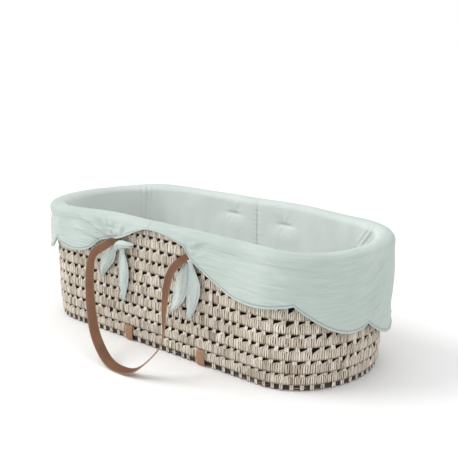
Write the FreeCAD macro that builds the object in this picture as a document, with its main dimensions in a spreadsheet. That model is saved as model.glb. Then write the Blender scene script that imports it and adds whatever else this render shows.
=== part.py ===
"""Moses basket: a coiled palm-leaf basket with leather carrying straps, a padded fabric liner and a mattress.

Millimetres. +Z is up and the origin is the middle of the basket on the floor. X runs along the basket, -Y is the
front. The basket's plan is an oval of two straight sides, four tight corner arcs and two wide end arcs. Every coil,
the liner and the mattress repeat that oval at an offset: an offset moves the outline outwards (or inwards, when it
is negative) by the same distance all round, so the centres of the arcs stay where they are.
"""

import FreeCAD, Part
import math
import os
import Sketcher

DIMENSIONS = [
    # alias, value in mm or degrees, meaning
    ("wall_half_length", 381, "basket outline at the foot, half its length"),
    ("wall_half_width", 155, "basket outline at the foot, half its width"),
    ("wall_corner_radius", 110, "corner arcs of the basket outline"),
    ("wall_end_radius", 190, "end arcs of the basket outline"),
    ("liner_half_length", 405.4, "outer face of the liner, half its length"),
    ("liner_half_width", 170.6, "outer face of the liner, half its width"),
    ("liner_corner_radius", 122, "corner arcs of the liner"),
    ("liner_end_radius", 207, "end arcs of the liner"),
    ("foot_height", 8, "height of the foot coil"),
    ("foot_width", 10, "width of the foot coil, measured inwards"),
    ("course_pitch", 25, "height of one wall course"),
    ("course_count", 9, "courses between the foot and the rim"),
    ("coil_thickness", 8, "thickness of a wall coil"),
    ("first_bulge", 3, "how far the first course stands out of the foot"),
    ("second_bulge", 5, "how far the second course stands out of the foot"),
    ("full_bulge", 6, "how far every higher course stands out of the foot"),
    ("rim_height", 15, "height of the rim coil"),
    ("coil_rounding", 2.5, "rounding of the coils' edges"),
    ("base_height", 7, "thickness of the woven base"),
    ("base_lift", 3.2, "underside of the base above the floor"),
    ("base_start", -10.3, "offset of the outermost base coil"),
    ("base_coil_width", 23.2, "width of one base coil"),
    ("base_coil_pitch", 23.5, "distance from one base coil to the next"),
    ("base_coil_count", 4, "base coils around the core"),
    ("strap_spacing", 100, "upper slots sit this far from the middle, either way"),
    ("strap_drift", 24, "how far a strap moves along the basket on its way down the wall"),
    ("strap_width", 20, "width of the leather"),
    ("strap_thickness", 2.5, "thickness of the leather"),
    ("strap_bend", 3, "centreline radius of the strap's folds"),
    ("strap_inner_run", 148.45, "strap inside the wall, from the middle plane"),
    ("strap_lower_run", 160, "strap outside the first course"),
    ("strap_upper_run", 162.6, "strap outside the last course, under the skirt"),
    ("strap_floor_run", 1.45, "height of the strap's centreline under the base"),
    ("strap_fold_room", 4, "from a slot to the end of the strap's slanted run"),
    ("strap_end", 179.5, "where the fixed part of the strap ends"),
    ("slot_width", 24, "width of the gap left for a strap"),
    ("slot_gap", 2.5, "how deep the slot goes into each of its two coils"),
    ("foot_notch", 3, "height of the strap's way under the foot coil"),
    ("hinge_out", 181, "handle's fold line, from the middle plane"),
    ("hinge_height", 214, "handle's fold line, above the floor"),
    ("handle_slope", 25.8, "degrees the resting handle leans out from straight down"),
    ("pad_outer", -8.5, "offset of the wall pad's outer face"),
    ("pad_inner", -14.5, "offset of the wall pad's inner face"),
    ("base_pad_bottom", 10.5, "underside of the base pad"),
    ("base_pad_height", 3.2, "thickness of the base pad"),
    ("wall_pad_bottom", 14, "lower edge of the wall pad"),
    ("rim_clear", 248.3, "underside of the padded roll, just above the rim coil"),
    ("liner_top", 265, "top of the padded roll"),
    ("roll_rounding", 8, "rounding of the padded roll"),
    ("skirt_thickness", 6, "thickness of the hanging skirt"),
    ("skirt_bottom", 86, "lowest level of the skirt ring before the hem is cut"),
    ("hem_arch_reach", 50, "hem: half the width of the arch between the ties"),
    ("hem_arch_height", 242, "hem: height of that arch"),
    ("hem_tie_reach", 115, "hem: distance of the tie points from the middle"),
    ("hem_tie_height", 223, "hem: height at the tie points"),
    ("hem_shoulder_reach", 170, "hem: where the skirt is gathered least"),
    ("hem_shoulder_height", 192, "hem: height there"),
    ("hem_lobe_reach", 250, "hem: lowest point of the side lobes"),
    ("hem_lobe_height", 164, "hem: height there"),
    ("hem_near_reach", 340, "hem: start of the long drop at the near end"),
    ("hem_near_height", 160, "hem: height there"),
    ("hem_end_reach", 430, "hem: beyond both ends"),
    ("hem_far_height", 150, "hem: height at the far end"),
    ("hem_low_height", 88, "hem: height at the near end"),
    ("mattress_offset", -17, "offset of the mattress cover"),
    ("mattress_bottom", 14, "underside of the mattress"),
    ("mattress_height", 36, "thickness of the mattress"),
    ("mattress_rounding", 9, "rounding of the mattress's edges"),
    ("cover_thickness", 1.2, "thickness of the quilted cover"),
    ("core_clearance", 0.3, "gap between the foam and its cover"),
    ("cover_slit_length", 380, "envelope opening in the cover's underside"),
    ("cover_slit_width", 8, "width of that opening"),
    ("tie_inner_face", 163, "inner face of the tie tails, from the middle plane"),
    ("tie_thickness", 3, "thickness of a tie tail"),
    ("tie_bulge_radius", 130, "radius of a tie tail's two curved edges"),
    ("knot_half_height", 6, "knot, half its height"),
    ("knot_half_depth", 4.5, "knot, half its depth"),
    ("knot_out", 171, "knot's middle, from the middle plane"),
]

# Each tie tail hangs from its knot to its tip: (name, knot end x and z, tip x and z).
TIE_TAILS = [
    ("left_outer", (-100, 206), (-150, 127)),
    ("left_inner", (-79, 198), (-86, 86)),
    ("right_inner", (92, 206), (53, 99)),
    ("right_outer", (103, 206), (101, 99)),
]
# Each knot: name, middle x and z, half its width.
TIE_KNOTS = [("left", (-70, 205), 24), ("right", (104, 206), 11)]

# Centreline of the resting front handle in its own plane: distance along the basket, distance below the fold line.
HANDLE_ROUTE = [
    (-110, 10), (-138, 36), (-131, 76), (-98, 133), (-60, 184), (-8, 222), (34, 230),
    (68, 220), (102, 180), (109, 150), (92, 102), (80, 56), (80, 30), (91, 10),
]
HANDLE_SECTIONS = 33
TWIST_SHARPNESS = 0.8

doc = FreeCAD.newDocument("moses_basket")
dims = doc.addObject("Spreadsheet::Sheet", "dims")
for row, (alias, size, meaning) in enumerate(DIMENSIONS, start=1):
    dims.set(f"A{row}", meaning)
    dims.set(f"B{row}", str(size))
    dims.setAlias(f"B{row}", alias)
doc.recompute()

nodes = []


def number(expression):
    """Value of an expression on the sheet, as a plain number."""
    result = dims.evalExpression(expression.replace("dims.", ""))
    return float(getattr(result, "Value", result))


def new_body(label):
    body = doc.addObject("PartDesign::Body", label)
    body.Label = label
    nodes.append(body)
    return body


def new_sketch(body, name, plane, offset=None):
    """Sketch on one of the body's own origin planes, moved along the plane's normal by an expression."""
    sketch = body.newObject("Sketcher::SketchObject", f"{body.Name}_{name}")
    support = next(f for f in body.Origin.OriginFeatures if f.Role == plane)
    sketch.AttachmentSupport = [(support, "")]
    sketch.MapMode = "FlatFace"
    if offset:
        sketch.setExpression("AttachmentOffset.Base.z", offset)
    return sketch


def bind(sketch, kind, places, expression):
    """Adds one dimension to a sketch and binds it to the sheet."""
    index = sketch.addConstraint(Sketcher.Constraint(kind, *places, number(expression)))
    sketch.setExpression(f"Constraints[{index}]", expression)


def bind_distance(sketch, kind, geometry, point, expression):
    """Holds a point at a distance from the sketch's origin. A dimension can't be negative, so its ends swap."""
    if number(expression) < 0:
        bind(sketch, kind, (geometry, point, -1, 1), f"-({expression})")
    else:
        bind(sketch, kind, (-1, 1, geometry, point), expression)


def add_oval(sketch, family, offset="0"):
    """Oval of two lines, four corner arcs and two end arcs, all tangent, at an offset from the family's outline."""
    length, width, corner, end = (
        f"dims.{family}_{part} + ({offset})" for part in ("half_length", "half_width", "corner_radius", "end_radius")
    )
    b, r_corner, r_end = number(width), number(corner), number(end)
    end_x = number(length) - r_end
    corner_y = b - r_corner
    corner_x = end_x + math.sqrt((r_end - r_corner) ** 2 - corner_y**2)
    turn = math.atan2(corner_y, corner_x - end_x)

    def arc(x, y, radius, start, stop):
        circle = Part.Circle(FreeCAD.Vector(x, y, 0), FreeCAD.Vector(0, 0, 1), radius)
        return Part.ArcOfCircle(circle, start, stop)

    def line(x0, x1, y):
        return Part.LineSegment(FreeCAD.Vector(x0, y, 0), FreeCAD.Vector(x1, y, 0))

    half = math.pi / 2
    first = sketch.GeometryCount
    sketch.addGeometry([
        arc(end_x, 0, r_end, -turn, turn),
        arc(corner_x, corner_y, r_corner, turn, half),
        line(corner_x, -corner_x, b),
        arc(-corner_x, corner_y, r_corner, half, math.pi - turn),
        arc(-end_x, 0, r_end, math.pi - turn, math.pi + turn),
        arc(-corner_x, -corner_y, r_corner, math.pi + turn, 3 * half),
        line(-corner_x, corner_x, -b),
        arc(corner_x, -corner_y, r_corner, 3 * half, 2 * math.pi - turn),
    ])
    near_end, far_end, front, back = first, first + 4, first + 6, first + 2
    for step in range(8):
        sketch.addConstraint(Sketcher.Constraint("Tangent", first + step, 2, first + (step + 1) % 8, 1))
    for side in (front, back):
        sketch.addConstraint(Sketcher.Constraint("Horizontal", side))
    for other in (3, 5, 7):
        sketch.addConstraint(Sketcher.Constraint("Equal", first + 1, first + other))
    sketch.addConstraint(Sketcher.Constraint("Equal", near_end, far_end))
    sketch.addConstraint(Sketcher.Constraint("PointOnObject", near_end, 3, -1))
    sketch.addConstraint(Sketcher.Constraint("PointOnObject", far_end, 3, -1))
    bind(sketch, "DistanceX", (-1, 1, near_end, 3), f"{length} - ({end})")
    bind(sketch, "DistanceX", (far_end, 3, -1, 1), f"{length} - ({end})")
    bind(sketch, "Radius", (near_end,), end)
    bind(sketch, "Radius", (first + 1,), corner)
    bind(sketch, "DistanceY", (-1, 1, back, 1), width)
    bind(sketch, "DistanceY", (front, 1, -1, 1), width)


def add_polygon(sketch, corners):
    """Closed outline through corners given as pairs of expressions."""
    spots = [FreeCAD.Vector(number(x), number(y), 0) for x, y in corners]
    first = sketch.GeometryCount
    count = len(corners)
    sketch.addGeometry([Part.LineSegment(spots[i], spots[(i + 1) % count]) for i in range(count)])
    for i in range(count):
        sketch.addConstraint(Sketcher.Constraint("Coincident", first + i, 2, first + (i + 1) % count, 1))
    for i, (across, up) in enumerate(corners):
        bind_distance(sketch, "DistanceX", first + i, 1, across)
        bind_distance(sketch, "DistanceY", first + i, 1, up)


def add_rectangle(sketch, middle, width, bottom, height):
    """Upright rectangle centred on middle, standing on bottom. All four are expressions."""
    left, right = f"{middle} - {width} / 2", f"{middle} + {width} / 2"
    top = f"{bottom} + {height}"
    add_polygon(sketch, [(left, bottom), (right, bottom), (right, top), (left, top)])


def pad(body, sketch, length, symmetric=False):
    feature = body.newObject("PartDesign::Pad", f"{sketch.Name}_pad")
    feature.Profile = sketch
    feature.setExpression("Length", length)
    if symmetric:
        feature.SideType = "Symmetric"
    doc.recompute()
    return feature


def pocket(body, sketch, depth=None, upwards=False):
    """Cuts right through, both ways, or to a depth. Stops if nothing was cut."""
    before = body.Shape.Volume
    feature = body.newObject("PartDesign::Pocket", f"{sketch.Name}_pocket")
    feature.Profile = sketch
    if depth:
        feature.setExpression("Length", depth)
        feature.Reversed = upwards
    else:
        feature.Type = "ThroughAll"
        feature.SideType = "Symmetric"
    doc.recompute()
    if not body.Shape.Volume < before - 1:
        raise RuntimeError(f"{feature.Name} cut nothing")
    return feature


def round_level_edges(body, base, radius, levels=None):
    """Rounds the horizontal edges, or only those at the given heights."""
    names = []
    for i, edge in enumerate(base.Shape.Edges, start=1):
        heights = [v.Point.z for v in edge.Vertexes]
        level = max(heights) - min(heights) < 1e-6
        if level and (levels is None or any(abs(heights[0] - z) < 1e-6 for z in levels)):
            names.append(f"Edge{i}")
    feature = body.newObject("PartDesign::Fillet", f"{body.Name}_round")
    feature.Base = (base, names)
    feature.setExpression("Radius", radius)
    doc.recompute()
    return feature


def ring(label, family, outer, inner, bottom, height):
    """Ring between two offsets of one family's outline."""
    body = new_body(label)
    sketch = new_sketch(body, "plan", "XY_Plane", bottom)
    add_oval(sketch, family, outer)
    add_oval(sketch, family, inner)
    return body, pad(body, sketch, height)


def cut_strap_slots(body, bottom, height, lower=True):
    """Leaves a gap for both straps, front and back, at the upper or the lower slots."""
    sketch = new_sketch(body, f"slots_{len(body.Group)}", "XZ_Plane")
    for side in ("dims.strap_spacing", "-dims.strap_spacing"):
        middle = f"{side} + dims.strap_drift" if lower else side
        add_rectangle(sketch, middle, "dims.slot_width", bottom, height)
    pocket(body, sketch)


def make_foot_coil():
    body, solid = ring("foot_coil", "wall", "0", "-dims.foot_width", "0", "dims.foot_height")
    round_level_edges(body, solid, "dims.coil_rounding", [number("dims.foot_height")])
    cut_strap_slots(body, "0", "dims.foot_notch")


def make_wall_coils():
    bulges = {1: "dims.first_bulge", 2: "dims.second_bulge"}
    last = int(number("dims.course_count"))
    for course in range(1, last + 1):
        outer = bulges.get(course, "dims.full_bulge")
        bottom = f"dims.foot_height + {course - 1} * dims.course_pitch"
        body, solid = ring(
            f"wall_coil_{course}", "wall", outer, f"{outer} - dims.coil_thickness", bottom, "dims.course_pitch"
        )
        round_level_edges(body, solid, "dims.coil_rounding")
        if course in (1, last):
            top_gap = f"{bottom} + dims.course_pitch - dims.slot_gap"
            cut_strap_slots(body, top_gap, "dims.slot_gap", lower=course == 1)
        if course == 2:
            cut_strap_slots(body, bottom, "dims.slot_gap")


def make_rim_coil():
    bottom = "dims.foot_height + dims.course_count * dims.course_pitch"
    body, solid = ring(
        "rim_coil", "wall", "dims.full_bulge", "dims.full_bulge - dims.coil_thickness", bottom, "dims.rim_height"
    )
    round_level_edges(body, solid, "dims.coil_rounding")
    cut_strap_slots(body, bottom, "dims.slot_gap", lower=False)


def make_base():
    """Flat coils sewn side by side, round a long core."""
    count = int(number("dims.base_coil_count"))
    for turn in range(count):
        outer = f"dims.base_start - {turn} * dims.base_coil_pitch"
        body, solid = ring(
            f"base_coil_{turn + 1}", "wall", outer, f"{outer} - dims.base_coil_width", "dims.base_lift",
            "dims.base_height",
        )
        round_level_edges(body, solid, "dims.coil_rounding")
    core = new_body("base_core")
    sketch = new_sketch(core, "plan", "XY_Plane", "dims.base_lift")
    add_oval(sketch, "wall", f"dims.base_start - {count} * dims.base_coil_pitch")
    round_level_edges(core, pad(core, sketch, "dims.base_height"), "dims.coil_rounding")


def add_folded_path(sketch, start, runs, stop):
    """Level and upright runs by turns, each held at its own distance, with a fold of one radius between them.

    start and stop say how far along the first and the last run the path begins and ends.
    """
    bend = number("dims.strap_bend")
    places = [start, *(where for _, where in runs), stop]
    corners = []
    for i in range(len(runs) + 1):
        level_first = (runs[0][0] == "level") == (i % 2 == 1)
        along, across = (places[i + 1], places[i]) if level_first else (places[i], places[i + 1])
        corners.append(FreeCAD.Vector(number(along), number(across), 0))
    ways = [(b - a).normalize() for a, b in zip(corners, corners[1:])]
    last = len(runs) - 1
    pieces = []
    for i, way in enumerate(ways):
        begin = corners[i] + way * (bend if i else 0)
        end = corners[i + 1] - way * (bend if i < last else 0)
        pieces.append(Part.LineSegment(begin, end))
        if i < last:
            middle = corners[i + 1] + (ways[i + 1] - way) * bend * (1 - math.sqrt(0.5))
            pieces.append(Part.Arc(end, middle, corners[i + 1] + ways[i + 1] * bend))
    sketch.addGeometry(pieces)
    for i, (way, where) in enumerate(runs):
        line = 2 * i
        sketch.addConstraint(Sketcher.Constraint("Horizontal" if way == "level" else "Vertical", line))
        bind_distance(sketch, "DistanceY" if way == "level" else "DistanceX", line, 1, where)
        if i < last:
            fold = line + 1
            turns_left = ways[i].cross(ways[i + 1]).z > 0
            enter, leave = (1, 2) if turns_left else (2, 1)
            sketch.addConstraint(Sketcher.Constraint("Tangent", line, 2, fold, enter))
            sketch.addConstraint(Sketcher.Constraint("Tangent", fold, leave, line + 2, 1))
            bind(sketch, "Radius", (fold,), "dims.strap_bend")
    for line, point, way, where in ((0, 1, runs[0][0], start), (2 * last, 2, runs[-1][0], stop)):
        bind_distance(sketch, "DistanceX" if way == "level" else "DistanceY", line, point, where)


def sweep_leather(body, path, section):
    """Carries the leather's section along the path and compares the volume with section times length."""
    before = 0 if body.Tip is None else body.Shape.Volume
    feature = body.newObject("PartDesign::AdditivePipe", f"{path.Name}_sweep")
    feature.Profile = section
    feature.Spine = path
    doc.recompute()
    expected = path.Shape.Length * number("dims.strap_width * dims.strap_thickness")
    if abs(body.Shape.Volume - before - expected) > 0.01 * expected:
        raise RuntimeError(f"{feature.Name} has the wrong volume")
    return feature


def make_strap(label, place):
    """Strap that comes out under the rim, runs down inside the wall, out again and under the base to the other side.

    It is a U under the base, and on each side a slanted run against the wall and a hook through the upper slot.
    """
    upper_slot = "dims.foot_height + dims.course_count * dims.course_pitch"
    lower_slot = "dims.foot_height + dims.course_pitch"
    slant_top = f"{upper_slot} - dims.strap_fold_room"
    slant_bottom = f"{lower_slot} + dims.strap_fold_room"
    low_place = f"{place} + dims.strap_drift"
    body = new_body(label)

    under = new_sketch(body, "under", "YZ_Plane", low_place)
    add_folded_path(
        under, slant_bottom,
        [
            ("upright", "-dims.strap_inner_run"), ("level", lower_slot), ("upright", "-dims.strap_lower_run"),
            ("level", "dims.strap_floor_run"),
            ("upright", "dims.strap_lower_run"), ("level", lower_slot), ("upright", "dims.strap_inner_run"),
        ],
        slant_bottom,
    )
    low_section = new_sketch(body, "low_section", "XY_Plane", slant_bottom)
    inner_face = "-dims.strap_inner_run - dims.strap_thickness / 2"
    add_rectangle(low_section, low_place, "dims.strap_width", inner_face, "dims.strap_thickness")
    sweep_leather(body, under, low_section)

    slant = new_sketch(body, "slant", "XZ_Plane", "dims.strap_inner_run - dims.strap_thickness / 2")
    half = "dims.strap_width / 2"
    add_polygon(slant, [
        (f"{low_place} - {half}", slant_bottom), (f"{low_place} + {half}", slant_bottom),
        (f"{place} + {half}", slant_top), (f"{place} - {half}", slant_top),
    ])
    slanted_run = pad(body, slant, "dims.strap_thickness")

    over = new_sketch(body, "over", "YZ_Plane", place)
    add_folded_path(
        over, "-dims.strap_end",
        [
            ("level", "dims.hinge_height"), ("upright", "-dims.strap_upper_run"), ("level", upper_slot),
            ("upright", "-dims.strap_inner_run"),
        ],
        slant_top,
    )
    end_section = new_sketch(body, "end_section", "XZ_Plane", "dims.strap_end")
    lower_face = "dims.hinge_height - dims.strap_thickness / 2"
    add_rectangle(end_section, place, "dims.strap_width", lower_face, "dims.strap_thickness")
    hook = sweep_leather(body, over, end_section)

    back = body.newObject("PartDesign::Mirrored", f"{label}_back")
    back.Originals = [slanted_run, hook]
    middle = next(f for f in body.Origin.OriginFeatures if f.Role == "XZ_Plane")
    back.MirrorPlane = (middle, [""])
    before = body.Shape.Volume
    body.Tip = back
    doc.recompute()
    if not body.Shape.Volume > before + 1:
        raise RuntimeError(f"{label} wasn't mirrored to the back")
    print(f"{label}: {body.Shape.Volume / number('dims.strap_width * dims.strap_thickness'):.0f} mm of leather")


def make_handle(label, turned):
    """Leather band bent to a U in the handle's plane.

    Both ends lie flat in the plane, where they fold over the hinge line. A flat band can't bend on its edge, so it
    turns a quarter on the way down each leg, and its outer face looks into the U at the bottom.
    """
    slope = math.radians(number("dims.handle_slope"))
    down = FreeCAD.Vector(0, -math.sin(slope), -math.cos(slope))
    outwards = FreeCAD.Vector(0, -math.cos(slope), math.sin(slope))
    along = FreeCAD.Vector(1, 0, 0)
    hinge = FreeCAD.Vector(0, -number("dims.hinge_out"), number("dims.hinge_height"))
    route = Part.BSplineCurve()
    route.interpolate([hinge + along * x + down * w for x, w in HANDLE_ROUTE])
    half_width = number("dims.strap_width") / 2
    half_thickness = number("dims.strap_thickness") / 2
    sections = []
    spots = route.discretize(Number=HANDLE_SECTIONS)
    for i, spot in enumerate(spots):
        share = i / (len(spots) - 1)
        way = route.tangent(route.parameter(spot))[0].normalize()
        into_loop = outwards.cross(way).normalize()
        twist = math.radians(90) * math.sin(math.pi * share) ** TWIST_SHARPNESS
        face = outwards * math.cos(twist) + into_loop * math.sin(twist)
        across = way.cross(face) * half_width
        deep = face * half_thickness
        corners = [spot + across + deep, spot - across + deep, spot - across - deep, spot + across - deep]
        sections.append(Part.makePolygon(corners + corners[:1]))
    handle = doc.addObject("Part::Feature", label)
    handle.Label = label
    handle.Shape = Part.makeLoft(sections, True, True)
    if turned:
        handle.Placement = FreeCAD.Placement(FreeCAD.Vector(), FreeCAD.Rotation(FreeCAD.Vector(0, 0, 1), 180))
    nodes.append(handle)
    print(f"{label}: {route.length():.0f} mm of leather")


def make_liner():
    ring(
        "liner_wall_pad", "wall", "dims.pad_outer", "dims.pad_inner", "dims.wall_pad_bottom",
        "dims.rim_clear - dims.wall_pad_bottom",
    )
    base_pad = new_body("liner_base_pad")
    sketch = new_sketch(base_pad, "plan", "XY_Plane", "dims.base_pad_bottom")
    add_oval(sketch, "wall", "dims.pad_outer")
    pad(base_pad, sketch, "dims.base_pad_height")

    skirt, _ = ring(
        "liner_skirt", "liner", "0", "-dims.skirt_thickness", "dims.skirt_bottom",
        "dims.liner_top - dims.skirt_bottom",
    )
    roll = new_sketch(skirt, "roll", "XY_Plane", "dims.rim_clear")
    add_oval(roll, "liner", "-dims.skirt_thickness")
    add_oval(roll, "wall", "dims.pad_inner")
    whole = pad(skirt, roll, "dims.liner_top - dims.rim_clear")
    round_level_edges(skirt, whole, "dims.roll_rounding", [number("dims.liner_top")])
    below = "dims.skirt_bottom - 5"
    hem = [
        ("-dims.hem_end_reach", "dims.hem_far_height"),
        ("-dims.hem_lobe_reach", "dims.hem_lobe_height"),
        ("-dims.hem_shoulder_reach", "dims.hem_shoulder_height"),
        ("-dims.hem_tie_reach", "dims.hem_tie_height"),
        ("-dims.hem_arch_reach", "dims.hem_arch_height"),
        ("dims.hem_arch_reach", "dims.hem_arch_height"),
        ("dims.hem_tie_reach", "dims.hem_tie_height"),
        ("dims.hem_shoulder_reach", "dims.hem_shoulder_height"),
        ("dims.hem_lobe_reach", "dims.hem_lobe_height"),
        ("dims.hem_near_reach", "dims.hem_near_height"),
        ("dims.hem_end_reach", "dims.hem_low_height"),
    ]
    cut = new_sketch(skirt, "hem", "XZ_Plane")
    add_polygon(cut, [("-dims.hem_end_reach", below), *hem, ("dims.hem_end_reach", below)])
    pocket(skirt, cut)


def rounded_slab(body, offset, bottom, height, rounding):
    """Slab in the wall's outline at an offset, with all its edges rounded."""
    plan = new_sketch(body, "plan", "XY_Plane", bottom)
    add_oval(plan, "wall", offset)
    return round_level_edges(body, pad(body, plan, height), rounding)


def make_mattress():
    """Foam core inside a quilted cover. The cover is a slab less its hollow, which an envelope slit opens below."""
    skin = "dims.cover_thickness"
    slab = doc.addObject("PartDesign::Body", "cover_slab")
    rounded_slab(slab, "dims.mattress_offset", "dims.mattress_bottom", "dims.mattress_height", "dims.mattress_rounding")

    hollow = doc.addObject("PartDesign::Body", "cover_hollow")
    rounded_slab(
        hollow, f"dims.mattress_offset - {skin}", f"dims.mattress_bottom + {skin}",
        f"dims.mattress_height - 2 * {skin}", f"dims.mattress_rounding - {skin}",
    )
    slit = new_sketch(hollow, "slit", "XY_Plane", f"dims.mattress_bottom - {skin}")
    add_rectangle(slit, "0", "dims.cover_slit_length", "-dims.cover_slit_width / 2", "dims.cover_slit_width")
    pad(hollow, slit, f"3 * {skin}")

    cover = doc.addObject("Part::Cut", "mattress_cover")
    cover.Base = slab
    cover.Tool = hollow
    doc.recompute()
    nodes.append(cover)

    inset = f"({skin} + dims.core_clearance)"
    rounded_slab(
        new_body("mattress_core"), f"dims.mattress_offset - {inset}", f"dims.mattress_bottom + {inset}",
        f"dims.mattress_height - 2 * {inset}", f"dims.mattress_rounding - {inset}",
    )


def make_ties():
    """Leaf-shaped tails and a flattened knot at each strap. The back's are the front's, turned half round."""
    for side, sign in (("front", 1), ("back", -1)):
        for name, (x0, z0), (x1, z1) in TIE_TAILS:
            body = new_body(f"tie_tail_{side}_{name}")
            start = "dims.tie_inner_face" if sign == 1 else "-dims.tie_inner_face - dims.tie_thickness"
            sketch = new_sketch(body, "leaf", "XZ_Plane", start)
            knot_end = FreeCAD.Vector(sign * x0, z0, 0)
            tip = FreeCAD.Vector(sign * x1, z1, 0)
            half = (tip - knot_end) * 0.5
            radius = number("dims.tie_bulge_radius")
            bulge = radius - math.sqrt(radius**2 - half.Length**2)
            square = FreeCAD.Vector(-half.y, half.x, 0).normalize() * bulge
            middle = (knot_end + tip) * 0.5
            sketch.addGeometry([Part.Arc(knot_end, middle - square, tip), Part.Arc(tip, middle + square, knot_end)])
            sketch.addConstraint(Sketcher.Constraint("Coincident", 0, 2, 1, 1))
            sketch.addConstraint(Sketcher.Constraint("Coincident", 1, 2, 0, 1))
            sketch.addConstraint(Sketcher.Constraint("Equal", 0, 1))
            bind(sketch, "Radius", (0,), "dims.tie_bulge_radius")
            for point, place, height in ((1, sign * x0, z0), (2, sign * x1, z1)):
                bind_distance(sketch, "DistanceX", 0, point, f"{place}")
                bind_distance(sketch, "DistanceY", 0, point, f"{height}")
            pad(body, sketch, "dims.tie_thickness")
        for name, (x, z), half_width in TIE_KNOTS:
            knot = doc.addObject("Part::Ellipsoid", f"tie_knot_{side}_{name}")
            knot.Label = knot.Name
            knot.setExpression("Radius1", "dims.knot_half_height")
            knot.setExpression("Radius2", f"{half_width}")
            knot.setExpression("Radius3", "dims.knot_half_depth")
            knot.setExpression("Placement.Base.x", f"{sign * x}")
            knot.setExpression("Placement.Base.y", f"{-sign} * dims.knot_out")
            knot.setExpression("Placement.Base.z", f"{z}")
            nodes.append(knot)


def write_parts():
    """Checks every object, then writes one file for each piece."""
    doc.recompute()
    for item in doc.Objects:
        if "Invalid" in item.State or "Error" in item.State:
            raise RuntimeError(f"{item.Name} failed: {item.State}")
        if item.TypeId == "Sketcher::SketchObject" and item.solve() != 0:
            raise RuntimeError(f"{item.Name} can't be solved")
    for node in nodes:
        if node.Shape.isNull() or not node.Shape.isValid():
            raise RuntimeError(f"{node.Label} has no valid shape")
    os.makedirs("parts", exist_ok=True)
    for node in nodes:
        node.Shape.exportStep(f"parts/{node.Label}.step")
        box = node.Shape.optimalBoundingBox()
        print(
            f"{node.Label}: {len(node.Shape.Solids)} solid, {node.Shape.Volume / 1000:.1f} cm3,"
            f" x {box.XMin:.1f}..{box.XMax:.1f}, y {box.YMin:.1f}..{box.YMax:.1f}, z {box.ZMin:.1f}..{box.ZMax:.1f}"
        )


make_foot_coil()
make_wall_coils()
make_rim_coil()
make_base()
make_strap("strap_left", "-dims.strap_spacing")
make_strap("strap_right", "dims.strap_spacing")
make_handle("handle_front", turned=False)
make_handle("handle_rear", turned=True)
make_liner()
make_mattress()
make_ties()
write_parts()
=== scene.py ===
# %% [markdown]
# # A moses basket
# The basket is coiled palm leaf, sewn course on course, with leather straps, a padded gauze liner and a mattress.
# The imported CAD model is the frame: it says where everything is. This script makes what shows around it.

# %% Load the frame
import math

import bpy
import numpy as np
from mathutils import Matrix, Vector


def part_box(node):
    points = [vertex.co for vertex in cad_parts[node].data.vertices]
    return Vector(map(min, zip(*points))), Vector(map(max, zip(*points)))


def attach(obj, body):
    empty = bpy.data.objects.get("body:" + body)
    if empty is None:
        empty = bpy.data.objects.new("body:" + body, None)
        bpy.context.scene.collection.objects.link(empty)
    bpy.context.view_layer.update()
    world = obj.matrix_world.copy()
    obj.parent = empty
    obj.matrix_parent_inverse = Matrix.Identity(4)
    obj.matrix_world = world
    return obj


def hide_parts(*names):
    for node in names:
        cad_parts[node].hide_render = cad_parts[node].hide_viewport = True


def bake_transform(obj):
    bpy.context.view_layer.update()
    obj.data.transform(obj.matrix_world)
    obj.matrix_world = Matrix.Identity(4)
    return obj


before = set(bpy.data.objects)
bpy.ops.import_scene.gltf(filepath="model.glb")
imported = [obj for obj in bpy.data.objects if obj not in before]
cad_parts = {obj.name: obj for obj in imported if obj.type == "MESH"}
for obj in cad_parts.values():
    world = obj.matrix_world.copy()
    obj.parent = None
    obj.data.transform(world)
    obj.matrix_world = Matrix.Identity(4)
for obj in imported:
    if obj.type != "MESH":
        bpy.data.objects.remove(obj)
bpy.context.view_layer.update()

# %% [markdown]
# ## The oval that everything follows
# A basket maker draws the plan with a string: straight sides, tight corner arcs and wide end arcs. Every course is a
# parallel of that line. It could be a spline, but lines and arcs keep true parallels, so one function gives a point,
# and the way out of it, for any distance walked round the basket from the middle of the front.


# %% Walk round an oval
def stack(plan, z):
    """Points in space from plan points (..., 2) and the heights over them."""
    return np.concatenate([plan, np.broadcast_to(z[..., None], (*plan.shape[:-1], 1))], -1)


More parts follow.
